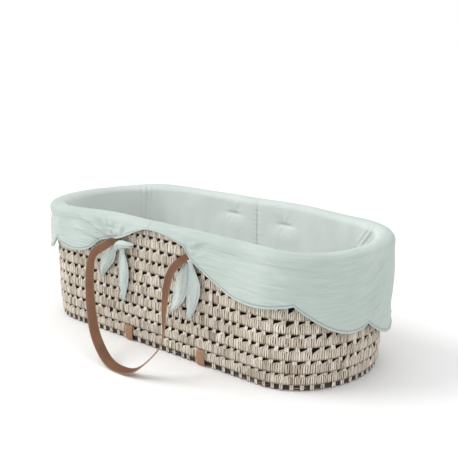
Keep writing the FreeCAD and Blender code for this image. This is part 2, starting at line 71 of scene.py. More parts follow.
class Oval:
    """Plan outline of two lines, four corner arcs and two end arcs, walked from the middle of the front to +X."""

    def __init__(self, half_length, half_width, corner_radius, end_radius):
        end_x = half_length - end_radius
        corner_y = half_width - corner_radius
        corner_x = end_x + math.sqrt((end_radius - corner_radius) ** 2 - corner_y**2)
        turn = math.atan2(corner_y, corner_x - end_x)
        quarter = math.pi / 2
        # Each stretch: centre x, centre y, radius, start angle, sweep. A line has no sweep and keeps its half-width.
        self.stretches = np.array([
            (0, 0, half_width, -quarter, 0),
            (corner_x, -corner_y, corner_radius, -quarter, quarter - turn),
            (end_x, 0, end_radius, -turn, 2 * turn),
            (corner_x, corner_y, corner_radius, turn, quarter - turn),
            (corner_x, 0, half_width, quarter, 0),
            (-corner_x, corner_y, corner_radius, quarter, quarter - turn),
            (-end_x, 0, end_radius, math.pi - turn, 2 * turn),
            (-corner_x, -corner_y, corner_radius, math.pi + turn, quarter - turn),
            (-corner_x, 0, half_width, -quarter, 0),
        ])
        lengths = self.stretches[:, 2] * self.stretches[:, 4]
        lengths[[0, 4, 8]] = corner_x, 2 * corner_x, corner_x
        self.starts = np.concatenate([[0], np.cumsum(lengths)])
        self.round = float(self.starts[-1])

    def at(self, walked):
        """Point and outward normal: on an arc, centre plus radius times the turned unit vector; on a line, its start
        plus the distance walked along the tangent."""
        walked = np.mod(walked, self.round)
        which = np.clip(np.searchsorted(self.starts, walked, side="right") - 1, 0, 8)
        cx, cy, radius, start, sweep = np.moveaxis(self.stretches[which], -1, 0)
        along = walked - self.starts[which]
        angle = start + np.where(sweep > 0, along / radius, 0)
        out = np.stack([np.cos(angle), np.sin(angle)], -1)
        ahead = np.stack([-np.sin(angle), np.cos(angle)], -1)
        point = np.stack([cx, cy], -1) + radius[..., None] * out
        return point + ahead * np.where(sweep > 0, 0, along)[..., None], out

    def place(self, walked, offset, z):
        """Points in space: the outline's point, offset along its outward normal, at height z."""
        point, out = self.at(walked)
        return stack(point + out * offset[..., None], z)

    def even(self, count):
        """That many even distances once round, as a column."""
        return np.linspace(0, self.round, count, endpoint=False)[:, None]


wall = Oval(half_length=0.381, half_width=0.155, corner_radius=0.110, end_radius=0.190)
liner = Oval(half_length=0.4054, half_width=0.1706, corner_radius=0.122, end_radius=0.207)
print(f"once round the foot {wall.round:.3f} m, once round the liner {liner.round:.3f} m")

# %% [markdown]
# ## From arrays to a mesh
# Every piece below is worked out with numpy as a grid of points and handed to Blender in one go. Leaf strips come in
# hundreds, so one helper takes a whole batch of closed little tubes at once.


# %% Mesh helpers
def facing_out(points, quads):
    """The quads turned so that they face outwards: the volume of a closed mesh, summed as tetrahedra from the origin
    to each half of each quad, is then above zero."""
    a, b, c, d = np.moveaxis(points[quads].astype(float), 1, 0)
    volume = (a * (np.cross(b, c) + np.cross(c, d))).sum()
    return quads[:, ::-1] if volume < 0 else quads


def make_piece(name, points, quads, uv=None, **values):
    """New mesh object from points (n, 3) and quads (m, 4). uv and values are per point."""
    mesh = bpy.data.meshes.new(name)
    points = np.asarray(points, np.float32).reshape(-1, 3)
    quads = facing_out(points, np.asarray(quads, np.int32).reshape(-1, 4))
    mesh.vertices.add(len(points))
    mesh.vertices.foreach_set("co", points.ravel())
    mesh.loops.add(quads.size)
    mesh.loops.foreach_set("vertex_index", quads.ravel())
    mesh.polygons.add(len(quads))
    mesh.polygons.foreach_set("loop_start", np.arange(0, quads.size, 4, dtype=np.int32))
    mesh.update(calc_edges=True)
    mesh.polygons.foreach_set("use_smooth", np.ones(len(quads), bool))
    if uv is not None:
        layer = mesh.uv_layers.new(name="cloth")
        layer.data.foreach_set("uv", np.asarray(uv, np.float32).reshape(-1, 2)[quads.ravel()].ravel())
    for key, value in values.items():
        mesh.attributes.new(key, "FLOAT", "POINT").data.foreach_set("value", np.asarray(value, np.float32).ravel())
    mesh.validate()
    piece = bpy.data.objects.new(name, mesh)
    bpy.context.scene.collection.objects.link(piece)
    return piece


def dress(piece, finish, slot_name, body, *nodes):
    """The piece gets its finish, rides on its body and stands for its CAD nodes, which are hidden. slot_name is not
    used.
    """
    if finish:
        piece.data.materials.append(finish)
    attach(piece, body)
    if nodes:
        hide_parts(*nodes)
    return piece


def grid_quads(rows, columns, close_rows=False, close_columns=False):
    """Quads of a grid with index row * columns + column. A closed way joins its last line to its first."""
    r = np.arange(rows if close_rows else rows - 1)[:, None]
    c = np.arange(columns if close_columns else columns - 1)[None, :]
    r2, c2 = (r + 1) % rows, (c + 1) % columns
    corners = (r * columns + c, r * columns + c2, r2 * columns + c2, r2 * columns + c)
    return np.stack(np.broadcast_arrays(*corners), -1).reshape(-1, 4)


def tube_quads(count, rings, around):
    """Quads of many closed tubes: rings joined along each tube, and both ends capped with a strip of quads."""
    side = grid_quads(rings, around, close_columns=True)
    half = around // 2
    first = np.array([(i, around - 1 - i, around - 2 - i, i + 1) for i in range(half - 1)])
    last = first[:, ::-1] + (rings - 1) * around
    one = np.concatenate([side, first, last])
    return (np.arange(count)[:, None, None] * rings * around + one[None]).reshape(-1, 4)


def pair(u, v):
    """UV pairs from two arrays that broadcast to one shape."""
    return np.stack(np.broadcast_arrays(u, v), -1)


def full_turn(count):
    """That many even angles round a section, as a row."""
    return np.linspace(0, 2 * math.pi, count, endpoint=False)[None, :]


def squarish(wave, power):
    """A sine or cosine pushed towards a square wave: its sign, times its size to a power below one."""
    return np.sign(wave) * np.abs(wave) ** power


def bell(x, width):
    """Bell curve: 1 at zero, falling off as exp(-(x / width) squared)."""
    return np.exp(-((x / width) ** 2))


def smooth_step(x, low, high):
    """0 below low, 1 above high, and an S between."""
    x = np.clip((np.asarray(x, float) - low) / (high - low), 0, 1)
    return x * x * (3 - 2 * x)


def ripples(share, up, seed, waves, turns, lengths):
    """Even, seamless noise: a sum of sines with whole turns round the basket and random lengths up it, fading as
    the turns grow. share is 0 to 1 round the basket, up is in metres."""
    rng = np.random.default_rng(seed)
    total = np.zeros(np.broadcast(share, up).shape)
    for _ in range(waves):
        n = rng.integers(*turns)
        length = rng.uniform(*lengths)
        lean, phase = rng.choice((-1, 1)), rng.uniform(0, 2 * math.pi)
        total += np.sin(2 * math.pi * (n * share + lean * up / length) + phase)
    return total / math.sqrt(waves)


print("helpers ready")

# %% [markdown]
# ## Finishes
# Each finish is a small node tree on the principled shader. Leaf strips carry a tone of their own as a point value,
# so no two neighbours match, and fine fibres run along each strip in its own UV map. An image texture could do
# this too, but a procedural one has no seams and no limit in close-up.


# %% Node helpers
class Finish:
    """A material being built: node() adds a node and links or sets its inputs, and feed() links to the shader."""

    def __init__(self, name, **constants):
        self.material = bpy.data.materials.new(name)
        self.material.use_nodes = True
        self.tree = self.material.node_tree
        self.shader = self.tree.nodes["Principled BSDF"]
        for socket, value in constants.items():
            self.shader.inputs[socket.replace("_", " ")].default_value = value

    def node(self, kind, inputs, **settings):
        made = self.tree.nodes.new(kind)
        for key, value in settings.items():
            setattr(made, key, value)
        for key, value in inputs.items():
            if hasattr(value, "is_output"):
                self.tree.links.new(value, made.inputs[key])
            else:
                made.inputs[key].default_value = value
        return made

    def feed(self, name, socket):
        self.tree.links.new(socket, self.shader.inputs[name])

    def bump(self, *layers):
        """Bumps on top of each other. Each layer is (height socket, strength, distance in metres)."""
        inputs = {}
        for height, strength, distance in layers:
            inputs |= {"Height": height, "Strength": strength, "Distance": distance}
            inputs["Normal"] = self.node("ShaderNodeBump", inputs).outputs["Normal"]
        self.feed("Normal", inputs["Normal"])

    def scaled(self, source, scale):
        return self.node("ShaderNodeMapping", {"Vector": source, "Scale": scale}).outputs["Vector"]

    def uv(self, *scale):
        return self.scaled(self.node("ShaderNodeUVMap", {}, uv_map="cloth").outputs["UV"], (*scale, 1))

    def place(self, *scale):
        return self.scaled(self.node("ShaderNodeTexCoord", {}).outputs["Object"], scale)

    def noise(self, vector, detail, rough=0.55):
        inputs = {"Vector": vector, "Scale": 1.0, "Detail": detail, "Roughness": rough}
        return self.node("ShaderNodeTexNoise", inputs).outputs["Fac"]

    def cells(self, vector):
        return self.node("ShaderNodeTexVoronoi", {"Vector": vector, "Scale": 1.0}).outputs["Distance"]

    def value(self, name):
        return self.node("ShaderNodeAttribute", {}, attribute_name=name).outputs["Fac"]

    def ramp(self, factor, *stops):
        """Colour ramp with stops of (place, colour)."""
        made = self.node("ShaderNodeValToRGB", {"Fac": factor})
        points = made.color_ramp.elements
        while len(points) < len(stops):
            points.new(0.5)
        for point, (place, colour) in zip(points, stops):
            point.position = place
            point.color = (*colour, 1)
        return made.outputs["Color"]

    def mix(self, factor, a, b, how="MIX"):
        return self.node("ShaderNodeMix", {0: factor, 6: a, 7: b}, data_type="RGBA", blend_type=how).outputs[2]

    def sum(self, a, b, how="ADD"):
        return self.node("ShaderNodeMath", {0: a, 1: b}, operation=how).outputs["Value"]

    def times(self, a, b):
        return self.sum(a, b, "MULTIPLY")

    def swing(self, noise, amount):
        """Noise from 0 to 1 made to swing either side of zero, by half the amount."""
        return self.times(self.sum(noise, -0.5), amount)


print("node helpers ready")


# %% Palm leaf
def palm_finish(name, stops, shade):
    """Dry palm leaf: a tone for each strip, fibres along it, and painted shade at its tucked-in ends and along its
    edges.
    """
    palm = Finish(name, Roughness=0.62, Specular_IOR_Level=0.3)
    fibres = palm.noise(palm.uv(900, 28), 3.0, 0.7)
    blotch = palm.noise(palm.place(60, 60, 34), 3.0)
    tone = palm.sum(palm.value("tone"), palm.swing(fibres, 0.55))
    base = palm.ramp(palm.sum(tone, palm.swing(blotch, 0.5)), *stops)
    # Painted shade: strips darken towards their ends, where they tuck in, and along their edges, between strips.
    deepest = tuple(c * 0.45 for c in shade)
    tucked = palm.ramp(palm.value("tuck"), (0.0, (1, 1, 1)), (0.55, shade), (1.0, deepest))
    palm.feed("Base Color", palm.mix(1.0, base, tucked, "MULTIPLY"))
    palm.feed("Roughness", palm.sum(palm.times(fibres, 0.25), 0.5))
    palm.bump((fibres, 0.55, 0.0005), (blotch, 0.25, 0.001))
    return palm.material


leaf_stops = [
    (0.0, (0.21, 0.155, 0.115)), (0.25, (0.37, 0.30, 0.235)), (0.5, (0.59, 0.525, 0.435)),
    (0.75, (0.73, 0.68, 0.585)), (1.0, (0.87, 0.84, 0.765)),
]
# The bundle's near-black colour is painted shade: the shadow seen through the holes and between the strips.
core_shade_stops = [(0.0, (0.02, 0.014, 0.01)), (0.5, (0.045, 0.032, 0.024)), (1.0, (0.08, 0.06, 0.045))]
leaf = palm_finish("palm_leaf", leaf_stops, (0.40, 0.33, 0.29))
shaded_core = palm_finish("palm_core_painted_shade", core_shade_stops, (0.5, 0.45, 0.4))
print("palm finishes:", leaf.name, shaded_core.name)


# %% Leather
def leather_finish(name, stops):
    """Tanned leather: pores and a slow change of tone. The point value flesh is 1 on the paler rough side, and the
    point value edge is 1 on the cut edges, which are paler: partly wear, partly a painted highlight."""
    hide = Finish(name, Specular_IOR_Level=0.22)
    cloud = hide.noise(hide.uv(16, 14), 4.0)
    streak = hide.noise(hide.uv(180, 14), 3.0)
    tone = hide.sum(hide.times(cloud, 0.7), hide.times(streak, 0.3))
    rough_side = hide.mix(hide.value("flesh"), hide.ramp(tone, *stops), (0.22, 0.135, 0.082, 1))
    # The cut edges are painted paler: wear, with a painted highlight where light catches them.
    hide.feed("Base Color", hide.mix(hide.value("edge"), rough_side, (0.40, 0.26, 0.165, 1)))
    pores = hide.cells(hide.uv(1100, 1100))
    fine = hide.noise(hide.uv(2400, 2400), 2.0)
    hide.feed("Roughness", hide.sum(hide.times(cloud, 0.22), 0.5))
    hide.bump((cloud, 0.2, 0.0012), (pores, 0.35, 0.0002), (fine, 0.2, 0.0001))
    return hide.material


leather_stops = [(0.3, (0.115, 0.052, 0.026)), (0.5, (0.150, 0.070, 0.037)), (0.7, (0.195, 0.096, 0.053))]
tan_stops = [(0.3, (0.25, 0.14, 0.078)), (0.5, (0.32, 0.185, 0.108)), (0.7, (0.39, 0.235, 0.145))]
leather = leather_finish("leather", leather_stops)
tan_leather = leather_finish("tan_leather", tan_stops)
print("leather finishes:", leather.name, tan_leather.name)


# %% Gauze, cotton and foam
def painted_light(colour):
    """Painted light for the inside of the basket: the same hue, nearer to white."""
    return tuple(c + (1 - c) * 0.34 for c in colour)


def gauze_finish(name, pale, deep):
    """Double gauze: fine creases along the cloth where the point value crease is 1, an open plain weave, and a colour
    that deepens as painted shade in the hollows of the creases. The point value seam is 1 in the darker sewn lines
    and also where shade is painted under the hem and in the tufts. The point value within is 1 on the inside of the
    basket, where the cloth is painted paler as painted light."""
    gauze = Finish(name, Roughness=0.88, Sheen_Weight=0.2, Sheen_Roughness=0.5, Specular_IOR_Level=0.15)
    creases = gauze.noise(gauze.uv(20, 240), 4.0, 0.6)
    slow = gauze.noise(gauze.uv(8, 50), 3.0)
    cloud = gauze.noise(gauze.place(7, 7, 7), 2.0)
    weight = gauze.value("crease")
    creased = gauze.sum(gauze.swing(creases, weight), 0.5)
    mixed = gauze.sum(gauze.times(creased, 0.5), gauze.times(cloud, 0.5))
    # Painted shade: the colour follows the creases' bump and darkens in each hollow.
    cloth = gauze.ramp(mixed, (0.36, deep), (0.64, pale))
    painted_lit_cloth = gauze.ramp(mixed, (0.36, painted_light(deep)), (0.64, painted_light(pale)))
    cloth = gauze.mix(gauze.value("within"), cloth, painted_lit_cloth)
    # The sewn lines are darker; the same mix paints shade under the hem and in the tufts.
    gauze.feed("Base Color", gauze.mix(gauze.value("seam"), cloth, (*(0.42 * c for c in deep), 1)))
    threads = [
        gauze.node("ShaderNodeTexWave", {"Vector": vector, "Scale": 1.0, "Distortion": 1.2}, bands_direction=way)
        for vector, way in ((gauze.uv(620, 0), "X"), (gauze.uv(0, 620), "Y"))
    ]
    weave = gauze.sum(*(thread.outputs["Fac"] for thread in threads))
    folds, crinkles = gauze.times(slow, weight), gauze.times(creases, weight)
    gauze.bump((folds, 0.45, 0.003), (crinkles, 0.7, 0.0014), (weave, 0.2, 0.0003))
    return gauze.material


def foam_finish():
    """Open foam: small cells in a warm white."""
    foam = Finish("mattress_foam", Roughness=0.9)
    cells = foam.cells(foam.place(500, 500, 500))
    foam.feed("Base Color", foam.ramp(cells, (0.1, (0.72, 0.66, 0.5)), (0.6, (0.88, 0.84, 0.7))))
    foam.bump((cells, 0.5, 0.0006))
    return foam.material


liner_cloth = gauze_finish("liner_gauze", (0.515, 0.575, 0.548), (0.405, 0.485, 0.448))
# Painted light: the ties are the liner's gauze, painted paler than the liner.
lit_tie_cloth = gauze_finish("tie_gauze_lit", (0.58, 0.64, 0.62), (0.46, 0.54, 0.51))
mattress_cloth = gauze_finish("mattress_cotton", (0.72, 0.73, 0.69), (0.64, 0.65, 0.61))
foam_material = foam_finish()
print("cloth and foam finishes ready")

# %% [markdown]
# ## The woven wall
# A course is a bundle of palm core wrapped in leaf strips, five strips to a stitch. Near its top each group of five is
# pinched together where the next course's stitch pulls it in, and that leaves the row of little dark holes. Paler
# lacing strips cross from each group into the course above. A texture on a plain wall would look painted on, so each
# strip is a real closed strip, and only a few dozen faces, because there are thousands.

# %% Measures of the weave
course_height = 0.025
foot_top = 0.008
rim_height = 0.015
stitch_count = 97
strips_per_stitch = 5
stitch = wall.round / stitch_count
first_bulge, second_bulge, full_bulge = 0.003, 0.005, 0.006
# The straps come out under the rim at these distances along the front and the back, and pass the foot further along.
strap_places = (-0.100, 0.100)
strap_drift = 0.024
strap_width = 0.020
print(f"one stitch is {stitch * 1000:.1f} mm")


# %% Leaf strips
def strip_batch(spots, lean, width, rise, depth, place, tone, seed):
    """Many closed strips as one array. A strip's section is a flat lens of six points, its width and depth follow
    its rise (0 at its foot to 1 at its top), and place() turns (distance round, height share, lift) into points."""
    rings = 7
    rng = np.random.default_rng(seed)
    count = len(spots)
    v = np.linspace(0, 1, rings)[None, :, None]
    across = np.array([-1, -0.55, 0.55, 1, 0.5, -0.5])[None, None, :]
    lift = np.array([0, 0.85, 0.85, 0, -0.5, -0.5])[None, None, :]
    wobble = rng.normal(0, 1, (count, rings, 1)) * 0.00022
    round_way = spots[:, None, None] + lean(v) + wobble + across * width(v) / 2
    points = place(round_way, v, lift * depth + rng.normal(0, 1, (count, 1, 1)) * 0.00028)
    shape = (count, rings, across.size)
    uv = pair(across * 0.0025 + rng.uniform(0, 9, (count, 1, 1)), v * rise)
    tones = np.broadcast_to(tone[:, None, None], shape)
    # Painted shade: half at a strip's foot, full at its top, where it tucks in, and 0.78 along its edges.
    tuck = 1 - np.minimum(0.5 + 0.5 * smooth_step(v, 0, 0.12), smooth_step(-v, -1, -0.80))
    tuck = np.broadcast_to(np.maximum(tuck, 0.78 * (np.abs(across) == 1)), shape)
    return points, tube_quads(count, rings, across.size), np.broadcast_to(uv, (*shape, 2)), tones, tuck


def join_batches(name, *batches):
    """One piece from several batches of (points, quads, uv, tone, painted shade), each with its material's index at
    the end.
    """
    together = lambda i, width: np.concatenate([batch[i].reshape(-1, width) for batch in batches])
    points = [batch[0].reshape(-1, 3) for batch in batches]
    starts = np.cumsum([0] + [len(p) for p in points])
    quads = [facing_out(p, batch[1]) + start for p, batch, start in zip(points, batches, starts)]
    slots = [np.full(len(batch[1]), batch[5], np.int32) for batch in batches]
    piece = make_piece(
        name, np.concatenate(points), np.concatenate(quads), together(2, 2), tone=together(3, 1), tuck=together(4, 1)
    )
    for material in (leaf, shaded_core):
        piece.data.materials.append(material)
    piece.data.polygons.foreach_set("material_index", np.concatenate(slots))
    return piece


def core_ring(place, low, high, outside, inside):
    """The bundle inside a course: a closed ring with a rounded section, from height share low to high."""
    turns, around = 360, 10
    walked, angle = wall.even(turns), full_turn(around)
    middle, reach = (outside + inside) / 2, (outside - inside) / 2
    v = (low + high) / 2 + (high - low) / 2 * squarish(np.sin(angle), 0.6)
    points = place(walked, v, middle + reach * squarish(np.cos(angle), 0.6))
    quads = grid_quads(turns, around, close_rows=True, close_columns=True)
    tone = np.full((turns, around), 0.5) + np.sin(walked * 900) * 0.2
    return points, quads, pair(walked, v * 0.02), tone, np.zeros((turns, around)), 1


print("strip helpers ready")


# %% One course
def uneven(walked, seed):
    """Stitches aren't evenly spaced: two slow waves, with whole turns round the basket, push them back and forth."""
    rng = np.random.default_rng(seed)
    one, two = rng.uniform(0, 2 * math.pi, 2)
    share = walked / wall.round
    return walked + 0.007 * np.sin(2 * math.pi * 3 * share + one) + 0.005 * np.sin(2 * math.pi * 8 * share + two)


def course_stand(bottom, height, outer, low, seed):
    """Placing function of one course. Up: low, plus the share of the reach. Out: the course's swelling, less what
    is tucked in at its top and bottom, plus the strip's own lift."""
    reach = height + 0.0035 - low

    def stand(round_way, v, lift):
        z = bottom + low + v * reach
        share = (z - bottom) / height
        swell = outer - 0.0014 + 0.0018 * np.sin(math.pi * np.clip(share, 0, 1)) ** 0.6
        tucked_in = 0.0040 * smooth_step(share, 0.80, 1.12) + 0.0010 * smooth_step(-share, -0.12, 0.0)
        return wall.place(uneven(round_way, seed), swell - tucked_in + lift, z)

    return stand, reach


def course_wraps(stand, reach, seed, phase):
    """Five strips to a stitch, side by side. Near the top they close up towards the stitch's far side, by squeeze,
    which leaves a dark three-cornered hole between one stitch and the next."""
    rng = np.random.default_rng(seed)
    each = stitch / strips_per_stitch
    index = np.arange(stitch_count * strips_per_stitch)
    group, k = index // strips_per_stitch, index % strips_per_stitch
    per_stitch = lambda mean, spread: rng.normal(mean, spread, stitch_count)[group][:, None, None]
    middle = (group + phase) * stitch
    aside = ((k - (strips_per_stitch - 1) / 2) * each)[:, None, None]
    share = (group / stitch_count)[:, None, None]
    squeeze = np.clip(per_stitch(0.67, 0.05), 0.5, 0.80)
    far_side = stitch * (0.30 + 0.18 * np.sin(2 * math.pi * share + 2.2))
    slip = per_stitch(0.0, 0.0006)
    skew = rng.normal(0.0002, 0.0004, len(index))[:, None, None]
    wide = (1 + rng.normal(0, 0.1, len(index)))[:, None, None]
    closing = per_stitch(0.678, 0.022)
    pinch = lambda v: smooth_step(v - closing, 0, 0.07)
    lean = lambda v: aside + ((far_side - aside) * squeeze + slip) * pinch(v) + skew * (v - 0.4) * 2
    width = lambda v: each * 1.04 * wide * (1 - (squeeze - 0.12) * pinch(v))
    tone = rng.normal(0.55, 0.12, len(index)) + rng.normal(0, 0.05, stitch_count)[group]
    strips = strip_batch(middle, lean, width, reach, 0.00115, stand, np.clip(tone, 0.02, 0.98), seed)
    top = (far_side * squeeze + slip)[::strips_per_stitch]
    return strips, middle[::strips_per_stitch], top


def course_laces(stand, reach, middle, top, seed):
    """Two strips side by side that sew a stitch to the course above. They lie over the closed strips, cross the gap
    and dive in between the wraps above."""
    rng = np.random.default_rng(seed)
    count = 2 * stitch_count
    side = np.tile([-0.0019, 0.0019], stitch_count)[:, None, None]
    skew = rng.normal(0.0004, 0.0005, count)[:, None, None]
    wide = (1 + rng.normal(0, 0.1, count))[:, None, None]
    rise = lambda v: 0.0006 + 0.0034 * smooth_step(v, 0.15, 0.5) - 0.0018 * smooth_step(v, 0.78, 1.0)
    laced = lambda round_way, v, lift: stand(round_way, 0.66 + v * 0.52, lift + rise(v))
    lean = lambda v: np.repeat(top, 2, axis=0) + side + skew * (v - 0.3)
    tone = np.clip(rng.normal(0.66, 0.11, count), 0.1, 0.98)
    # The laces lie on top, so they get only a quarter of the painted shade.
    *strips, tuck = strip_batch(
        np.repeat(middle, 2), lean, lambda v: 0.0040 * wide, 0.52 * reach, 0.0009, laced, tone, seed
    )
    return *strips, 0.25 * tuck


def weave_course(name, bottom, height, outer, low, seed):
    """Wraps, laces and the bundle inside, near black as painted shade, which ends below the holes. The rim has no
    laces:
    nothing is above.
    """
    stand, reach = course_stand(bottom, height, outer, low, seed)
    wraps, middle, top = course_wraps(stand, reach, seed, 0.37 * seed)
    batches = [(*wraps, 0)]
    if height == course_height:
        batches.append((*course_laces(stand, reach, middle, top, seed + 50), 0))
    bundle = lambda round_way, v, lift: stand(round_way, (v * height - low) / reach, lift)
    return join_batches(name, *batches, core_ring(bundle, 0.10 + low / height, 0.66, -0.0014, -0.0078))


print("course helpers ready")


# %% The courses
for number in range(1, 10):
    bottom = foot_top + (number - 1) * course_height
    outer = {1: first_bulge, 2: second_bulge}.get(number, full_bulge)
    low = 0.0048 if number == 1 else 0.0010
    piece = weave_course(f"woven_course_{number}", bottom, course_height, outer, low, 100 + number)
    dress(piece, None, "palm", "basket", f"wall_coil_{number}")
rim = weave_course("woven_rim", foot_top + 9 * course_height, rim_height, full_bulge, 0.001, 130)
dress(rim, None, "palm", "basket", "rim_coil")
print(f"nine courses and a rim, {len(piece.data.polygons)} faces in the last course")

# %% [markdown]
# ## The foot
# The lowest coil shows its bundle, near black as painted shade, with long strands lying along it, and a pair of
# pale strips at each stitch that comes down from the first course. Leaving its holes open, squarish, makes the foot
# look light.


# %% Foot coil
foot_seed = 101


def near_strap(walked):
    """True where a strap passes under the foot, on the front or the back."""
    point, _ = wall.at(walked)
    at_strap = [np.abs(point[:, 0] - (place + strap_drift)) < strap_width / 2 + 0.003 for place in strap_places]
    return (at_strap[0] | at_strap[1]) & (np.abs(point[:, 1]) > 0.12)


def weave_foot():
    """Two pale upright strips at each stitch, strands that lie along the coil, and the bundle behind them, near black
    as painted shade.
    """
    rng = np.random.default_rng(77)
    middle = (np.arange(stitch_count) + 0.37 * foot_seed) * stitch + rng.normal(0.003, 0.0012, stitch_count)
    middle = np.repeat(middle[~near_strap(uneven(middle, foot_seed))], 2)
    side = np.where(np.arange(len(middle)) % 2, 0.0020, -0.0020)[:, None, None]
    wide = (1 + rng.normal(0, 0.08, len(middle)))[:, None, None]
    rise = 0.0165

    def upright(round_way, v, lift):
        """Straight up from the ground into the first course, leaning out a little as the wall does."""
        return wall.place(uneven(round_way, foot_seed), 0.0001 + 0.0011 * v + lift, 0.0004 + v * rise)

    tone = np.clip(rng.normal(0.66, 0.12, len(middle)), 0.1, 0.98)
    wraps = strip_batch(middle, lambda v: side, lambda v: 0.0042 * wide, rise, 0.0009, upright, tone, 78)
    begin = rng.uniform(0, wall.round, 90)
    begin = begin[~near_strap(begin)]
    level = rng.choice((0.0016, 0.0060, 0.0105), len(begin)) + rng.normal(0, 0.0005, len(begin))
    level = np.maximum(level, 0.0012)[:, None, None]
    length = rng.uniform(0.02, 0.055, len(begin))[:, None, None]

    def lie(height, v, lift):
        """A strand along the coil: its length goes round, its width goes up."""
        z = level + height
        walked = begin[:, None, None] + (v - 0.5) * length + 0 * z
        return wall.place(walked, -0.0004 + lift - 0.0006 * np.abs(2 * v - 1), z)

    thin = lambda v: 0.0011 * (1 - 0.6 * (2 * v - 1) ** 4)
    tone = np.clip(rng.normal(0.34, 0.15, len(begin)), 0.05, 0.95)
    strands = strip_batch(0 * begin, lambda v: 0, thin, 0.05, 0.0005, lie, tone, 79)
    stand, _ = course_stand(0.0, 0.0125, 0.0012, 0.0004, foot_seed)
    bundle = lambda round_way, v, lift: stand(round_way, v, lift - 0.0008)
    piece = join_batches("woven_foot", (*wraps, 0), (*strands, 0), core_ring(bundle, 0.04, 0.92, -0.0006, -0.0072))
    dress(piece, None, "palm", "basket", "foot_coil")


weave_foot()
print("foot done")

# %% [markdown]
# ## The floor of the basket
# Under the base the coils go round and round to the middle, wrapped in the same strips. They are only seen when the
# basket is lifted, so each is one closed ring, with a ridge for every wrap, and the strips are in its tone.


# %% Base coils
def ridged_ring(number):
    """Ring with a rounded section between two offsets of the wall's outline. Each ridge is half a sine wave."""
    low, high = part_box(f"base_coil_{number}")
    ridges = 330 - 45 * number
    outside = high.y - wall.stretches[0, 2]
    inside = outside - 0.0226
    rng = np.random.default_rng(60 + number)
    turns, around = ridges * 4, 12
    walked, angle = wall.even(turns), full_turn(around)
    ridge = np.arange(turns)[:, None] // 4
    swell = 0.00045 * np.abs(np.sin(math.pi * (np.arange(turns)[:, None] % 4) / 4)) - 0.0004
    offset = (outside + inside) / 2 + ((outside - inside) / 2 + swell) * squarish(np.cos(angle), 0.55)
    z = (low.z + high.z) / 2 + ((high.z - low.z) / 2 + swell) * squarish(np.sin(angle), 0.55)
    points = wall.place(walked, offset, z)
    tone = np.clip(rng.normal(0.5, 0.16, ridges), 0.02, 0.98)[ridge] + 0 * angle
    quads = grid_quads(turns, around, close_rows=True, close_columns=True)
    piece = join_batches(f"woven_base_{number}", (points, quads, pair(walked, angle * 0.004), tone, 0 * tone, 0))
    dress(piece, None, "palm", "basket", f"base_coil_{number}")
    print(f"base coil {number}: outer offset {outside * 1000:.1f} mm, z {low.z * 1000:.1f} to {high.z * 1000:.1f}")


def ridged_tongue():
    """Middle of the base: a flat rounded block, worked out as a long ring with no hole."""
    low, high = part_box("base_core")
    rows, around = 160, 12
    v = np.linspace(-1, 1, rows)[:, None]
    angle = full_turn(around)
    half_length, half_width = high.x - 0.0006, high.y - 0.0006
    x = half_length * np.sin(v * math.pi / 2)
    beyond = np.clip((np.abs(x) - (half_length - half_width)) / half_width, 0, 1)
    end = np.sqrt(np.clip(1 - beyond**2, 0.0004, 1))
    y = half_width * end * squarish(np.cos(angle), 0.5)
    ridge = 0.0003 * np.abs(np.sin(x * 800))
    thick = ((high.z - low.z) / 2 - 0.0005 + ridge) * end ** 0.3
    z = (low.z + high.z) / 2 + thick * squarish(np.sin(angle), 0.5)
    points = np.stack(np.broadcast_arrays(x, y, z), -1)
    tone = 0.5 + 0.2 * np.sin(x * 800) + 0 * angle
    piece = join_batches("woven_base_middle", (points, tube_quads(1, rows, around), pair(y, x), tone, 0 * tone, 0))
    dress(piece, None, "palm", "basket", "base_core")


for number in range(1, 5):
    ridged_ring(number)
ridged_tongue()

# %% [markdown]
# ## Inside of the wall
# Behind the courses the palm is dark with shadow. A thin closed skin just inside them keeps light from leaking
# through the holes, as the inner layer of leaf does, and its near-black colour is painted shade.


# %% Inner leaf skin
upright_skin = lambda walked, v, offset: wall.place(walked + 0 * offset, offset, 0.004 + v * 0.242)
dress(join_batches("inner_leaf", core_ring(upright_skin, 0.0, 1.0, -0.0040, -0.0056)), None, "palm", "basket")
print("inner skin done")

# %% [markdown]
# ## The liner
# The liner is quilted gauze: a skirt that hangs outside with a scalloped hem, a fat roll over the rim, and a padded
# wall inside. A cloth simulation could hang it, but it wouldn't put every lobe, tuft and crease where the sewer put
# it. So the surface is worked out: distance round the basket one way, and up from the hem, over the roll and down
# inside the other way. Folds, puckers and crinkles are small moves along its normal.

# %% Measures of the liner
skin = 0.004
roll_rise = 0.0135
roll_middle, roll_ends = 0.265, 0.2560
pad_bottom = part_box("liner_wall_pad")[0].z
pad_inner, pad_back = -0.0145, -0.0088
rim_top = 0.2492
hem_seam, hem_seam_width = 0.0052, 0.0009
half_round = liner.round / 2
